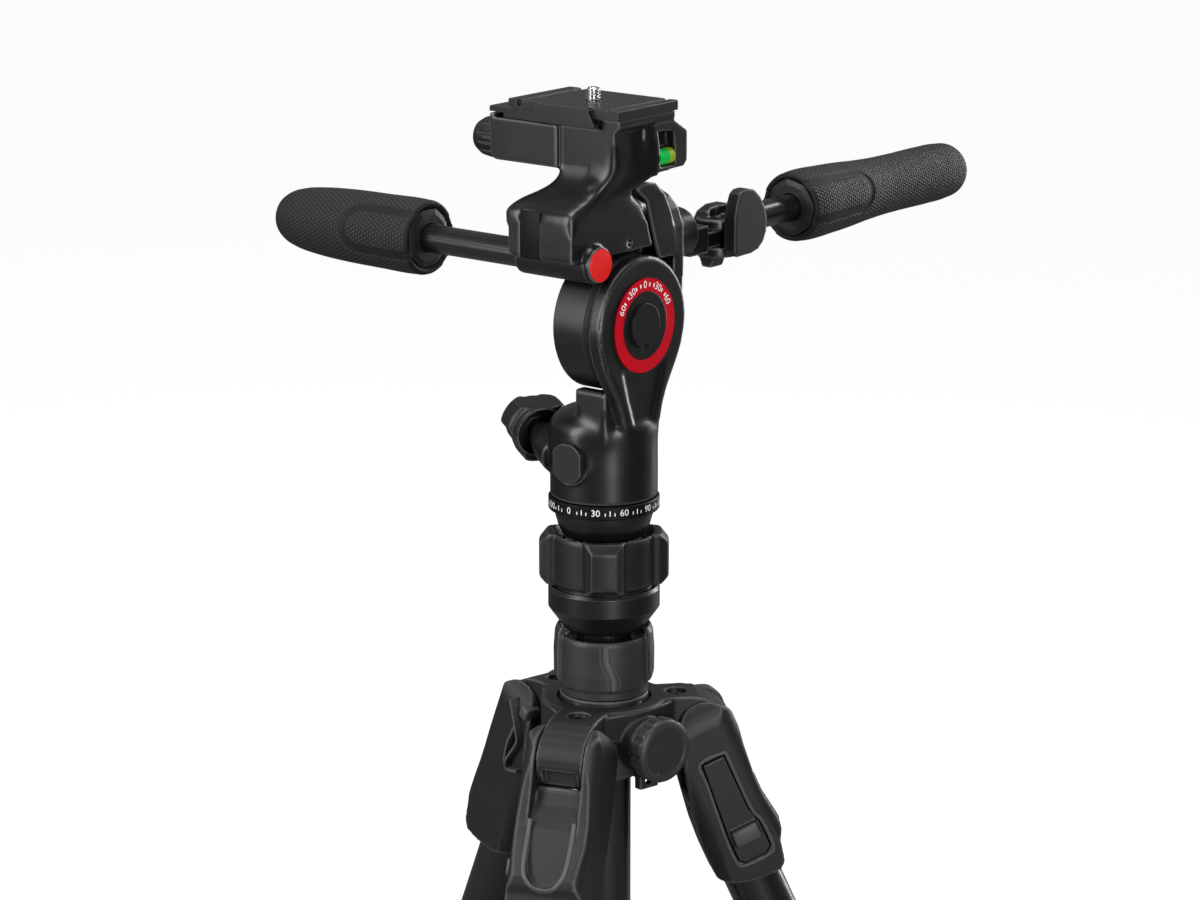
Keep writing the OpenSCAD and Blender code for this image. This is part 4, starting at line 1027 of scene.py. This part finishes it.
lips = {"front": [(-9.8, -27), (-9.8, -36), (-9.6, -44), (-8.6, -50), (-6, -54), (-2.4, -56),
                  (2.4, -56), (6, -54), (8.6, -50), (9.6, -44), (9.8, -36), (9.8, -27)],
        "frontWide": 1.8, "frontTall": 0.7,
        "face": [(-66, 7.1), (-58, 8.6), (-54.5, 11.2), (-51, 12), (-46, 11.4), (-36, 10),
                 (-27, 10), (-12, 11.5)],
        "pocket": [(-9.4, -9.8), (2.2, -9.8), (2.7, -12), (2.7, -37.6), (4.7, -45.8),
                   (4.7, -58.4), (1.4, -61.3), (-10, -61.3), (-12.7, -58.4), (-12.7, -45.8),
                   (-10.4, -20)],
        "pocketWide": 1.4, "pocketTall": 0.55, "side": 17.4, "taperFrom": -36, "taper": 1 / 36}
faceZ, faceX = zip(*lips["face"])


def onLegFront(leg):
    return lambda u, v, h: legPoint(leg, float(np.interp(v, faceZ, faceX)) + h, u, v)


def onLegSide(leg):
    def place(u, v, h):
        side = lips["side"] - max(lips["taperFrom"] - v, 0) * lips["taper"]
        return legPoint(leg, u, -side - h, v)
    return place


for leg in legNames:
    ribbon("frontLip" + leg.upper(), smoothPath(lips["front"], 4), onLegFront(leg),
           "leg_" + leg, "cast", legPaint, lips["frontWide"], lips["frontTall"], sink=0.6)
    ribbon("pocketLip" + leg.upper(), smoothPath(lips["pocket"], 4, closed=True), onLegSide(leg),
           "leg_" + leg, "cast", legPaint, lips["pocketWide"], lips["pocketTall"], closed=True,
           sink=0.8)
print("lips made")


# camera, light and floor

# metres and degrees; the tones are shares of white
studio = {"aim": (0, 0, 0.503672), "azimuth": 38.75, "elevation": 14.34, "distance": 1.6019,
          "lens": 114.375, "shiftX": -0.00333, "lampsAim": (0, 0, 0.5), "worldTone": 0.09,
          "backdropInGloss": 0.12, "floorReach": 14, "floorTone": 0.2, "floorSeen": 0.9,
          "floorGlow": 1.18, "glowShare": 0.8}
a, e = math.radians(studio["azimuth"]), math.radians(studio["elevation"])
back = Vector((math.sin(a) * math.cos(e), -math.cos(a) * math.cos(e), math.sin(e)))
cameraData = bpy.data.cameras.new("camera")
cameraData.sensor_width, cameraData.lens = 36, studio["lens"]
cameraData.shift_x = studio["shiftX"]
cameraData.clip_start, cameraData.clip_end = 0.05, 60
camera = addObject("camera", cameraData)
camera.location = Vector(studio["aim"]) + back * studio["distance"]
camera.rotation_mode = "QUATERNION"
camera.rotation_quaternion = (-back).to_track_quat("-Z", "Y")
bpy.context.scene.camera = camera


def softBox(name, spot, aimAt, size, power):
    data = bpy.data.lights.new(name, "AREA")
    data.shape, data.energy = "RECTANGLE", power
    data.size, data.size_y = size
    lamp = addObject(name, data)
    lamp.location = spot
    lamp.rotation_mode = "QUATERNION"
    lamp.rotation_quaternion = (Vector(aimAt) - Vector(spot)).to_track_quat("-Z", "Y")


right = Vector((math.cos(a), math.sin(a), 0))
front = Vector((math.sin(a), -math.cos(a), 0))
softBoxes = {  # place, size in metres, watts
    "key": (-right * 1.5 + front * 0.8 + Vector((0, 0, 1.1)), (0.55, 1.5), 25),
    "fill": (right * 0.6 + front * 1.9 + Vector((0, 0, 0.8)), (0.35, 1.3), 24),
    "top": (-front * 0.1 + Vector((0, 0, 2.0)), (0.8, 0.8), 16),
    "rim": (right * 1.3 - front * 1.2 + Vector((0, 0, 0.9)), (0.3, 1.5), 20)}
for name, (spot, size, power) in softBoxes.items():
    softBox(name, spot, studio["lampsAim"], size, power)

world = bpy.data.worlds.new("studio")
bpy.context.scene.world = world
world.use_nodes = True
sky = world.node_tree
sky.nodes.clear()
ray = addNode(sky, "ShaderNodeLightPath")
seen = addNode(sky, "ShaderNodeMath", {"operation": "MULTIPLY_ADD", "use_clamp": True,
                                        1: studio["backdropInGloss"]},
               {0: ray.outputs["Is Glossy Ray"], 2: ray.outputs["Is Camera Ray"]})
seenToo = addNode(sky, "ShaderNodeMath", {"operation": "ADD", "use_clamp": True},
                  {0: seen.outputs[0], 1: ray.outputs["Is Transmission Ray"]})
skyColour = addNode(sky, "ShaderNodeMix",
                    {"data_type": "RGBA", 6: (*[studio["worldTone"]] * 3, 1), 7: (1, 1, 1, 1)},
                    {0: seenToo.outputs[0]})
skyShader = addNode(sky, "ShaderNodeBackground", {"Strength": 1.0},
                    {"Color": skyColour.outputs[2]})
addNode(sky, "ShaderNodeOutputWorld", None, {"Surface": skyShader.outputs[0]})

floorMesh = bpy.data.meshes.new("floor")
reach = studio["floorReach"]
floorMesh.from_pydata([(-reach, -reach, 0), (reach, -reach, 0), (reach, reach, 0),
                       (-reach, reach, 0)], [], [(0, 1, 2, 3)])
floor = addObject("floor", floorMesh)
floorPaint, floorTree, floorOut = newMaterial("paleStudioFloor")
floorRay = addNode(floorTree, "ShaderNodeLightPath")
floorTone = addNode(floorTree, "ShaderNodeMix",
                    {"data_type": "RGBA", 6: (*[studio["floorTone"]] * 3, 1),
                     7: (*[studio["floorSeen"]] * 3, 1)},
                    {0: floorRay.outputs["Is Camera Ray"]})
floorLit = addNode(floorTree, "ShaderNodeBsdfDiffuse", None, {"Color": floorTone.outputs[2]})
floorGlow = addNode(floorTree, "ShaderNodeEmission",
                    {"Color": (1, 1, 1, 1), "Strength": studio["floorGlow"]})
floorShare = addNode(floorTree, "ShaderNodeMath",
                     {"operation": "MULTIPLY", 1: studio["glowShare"]},
                     {0: floorRay.outputs["Is Camera Ray"]})
floorMix = addNode(floorTree, "ShaderNodeMixShader", None,
                   {0: floorShare.outputs[0], 1: floorLit.outputs[0], 2: floorGlow.outputs[0]})
floorTree.links.new(floorMix.outputs[0], floorOut.inputs["Surface"])
floorMesh.materials.append(floorPaint)
bpy.context.scene.view_settings.view_transform = "Standard"
print("studio set")
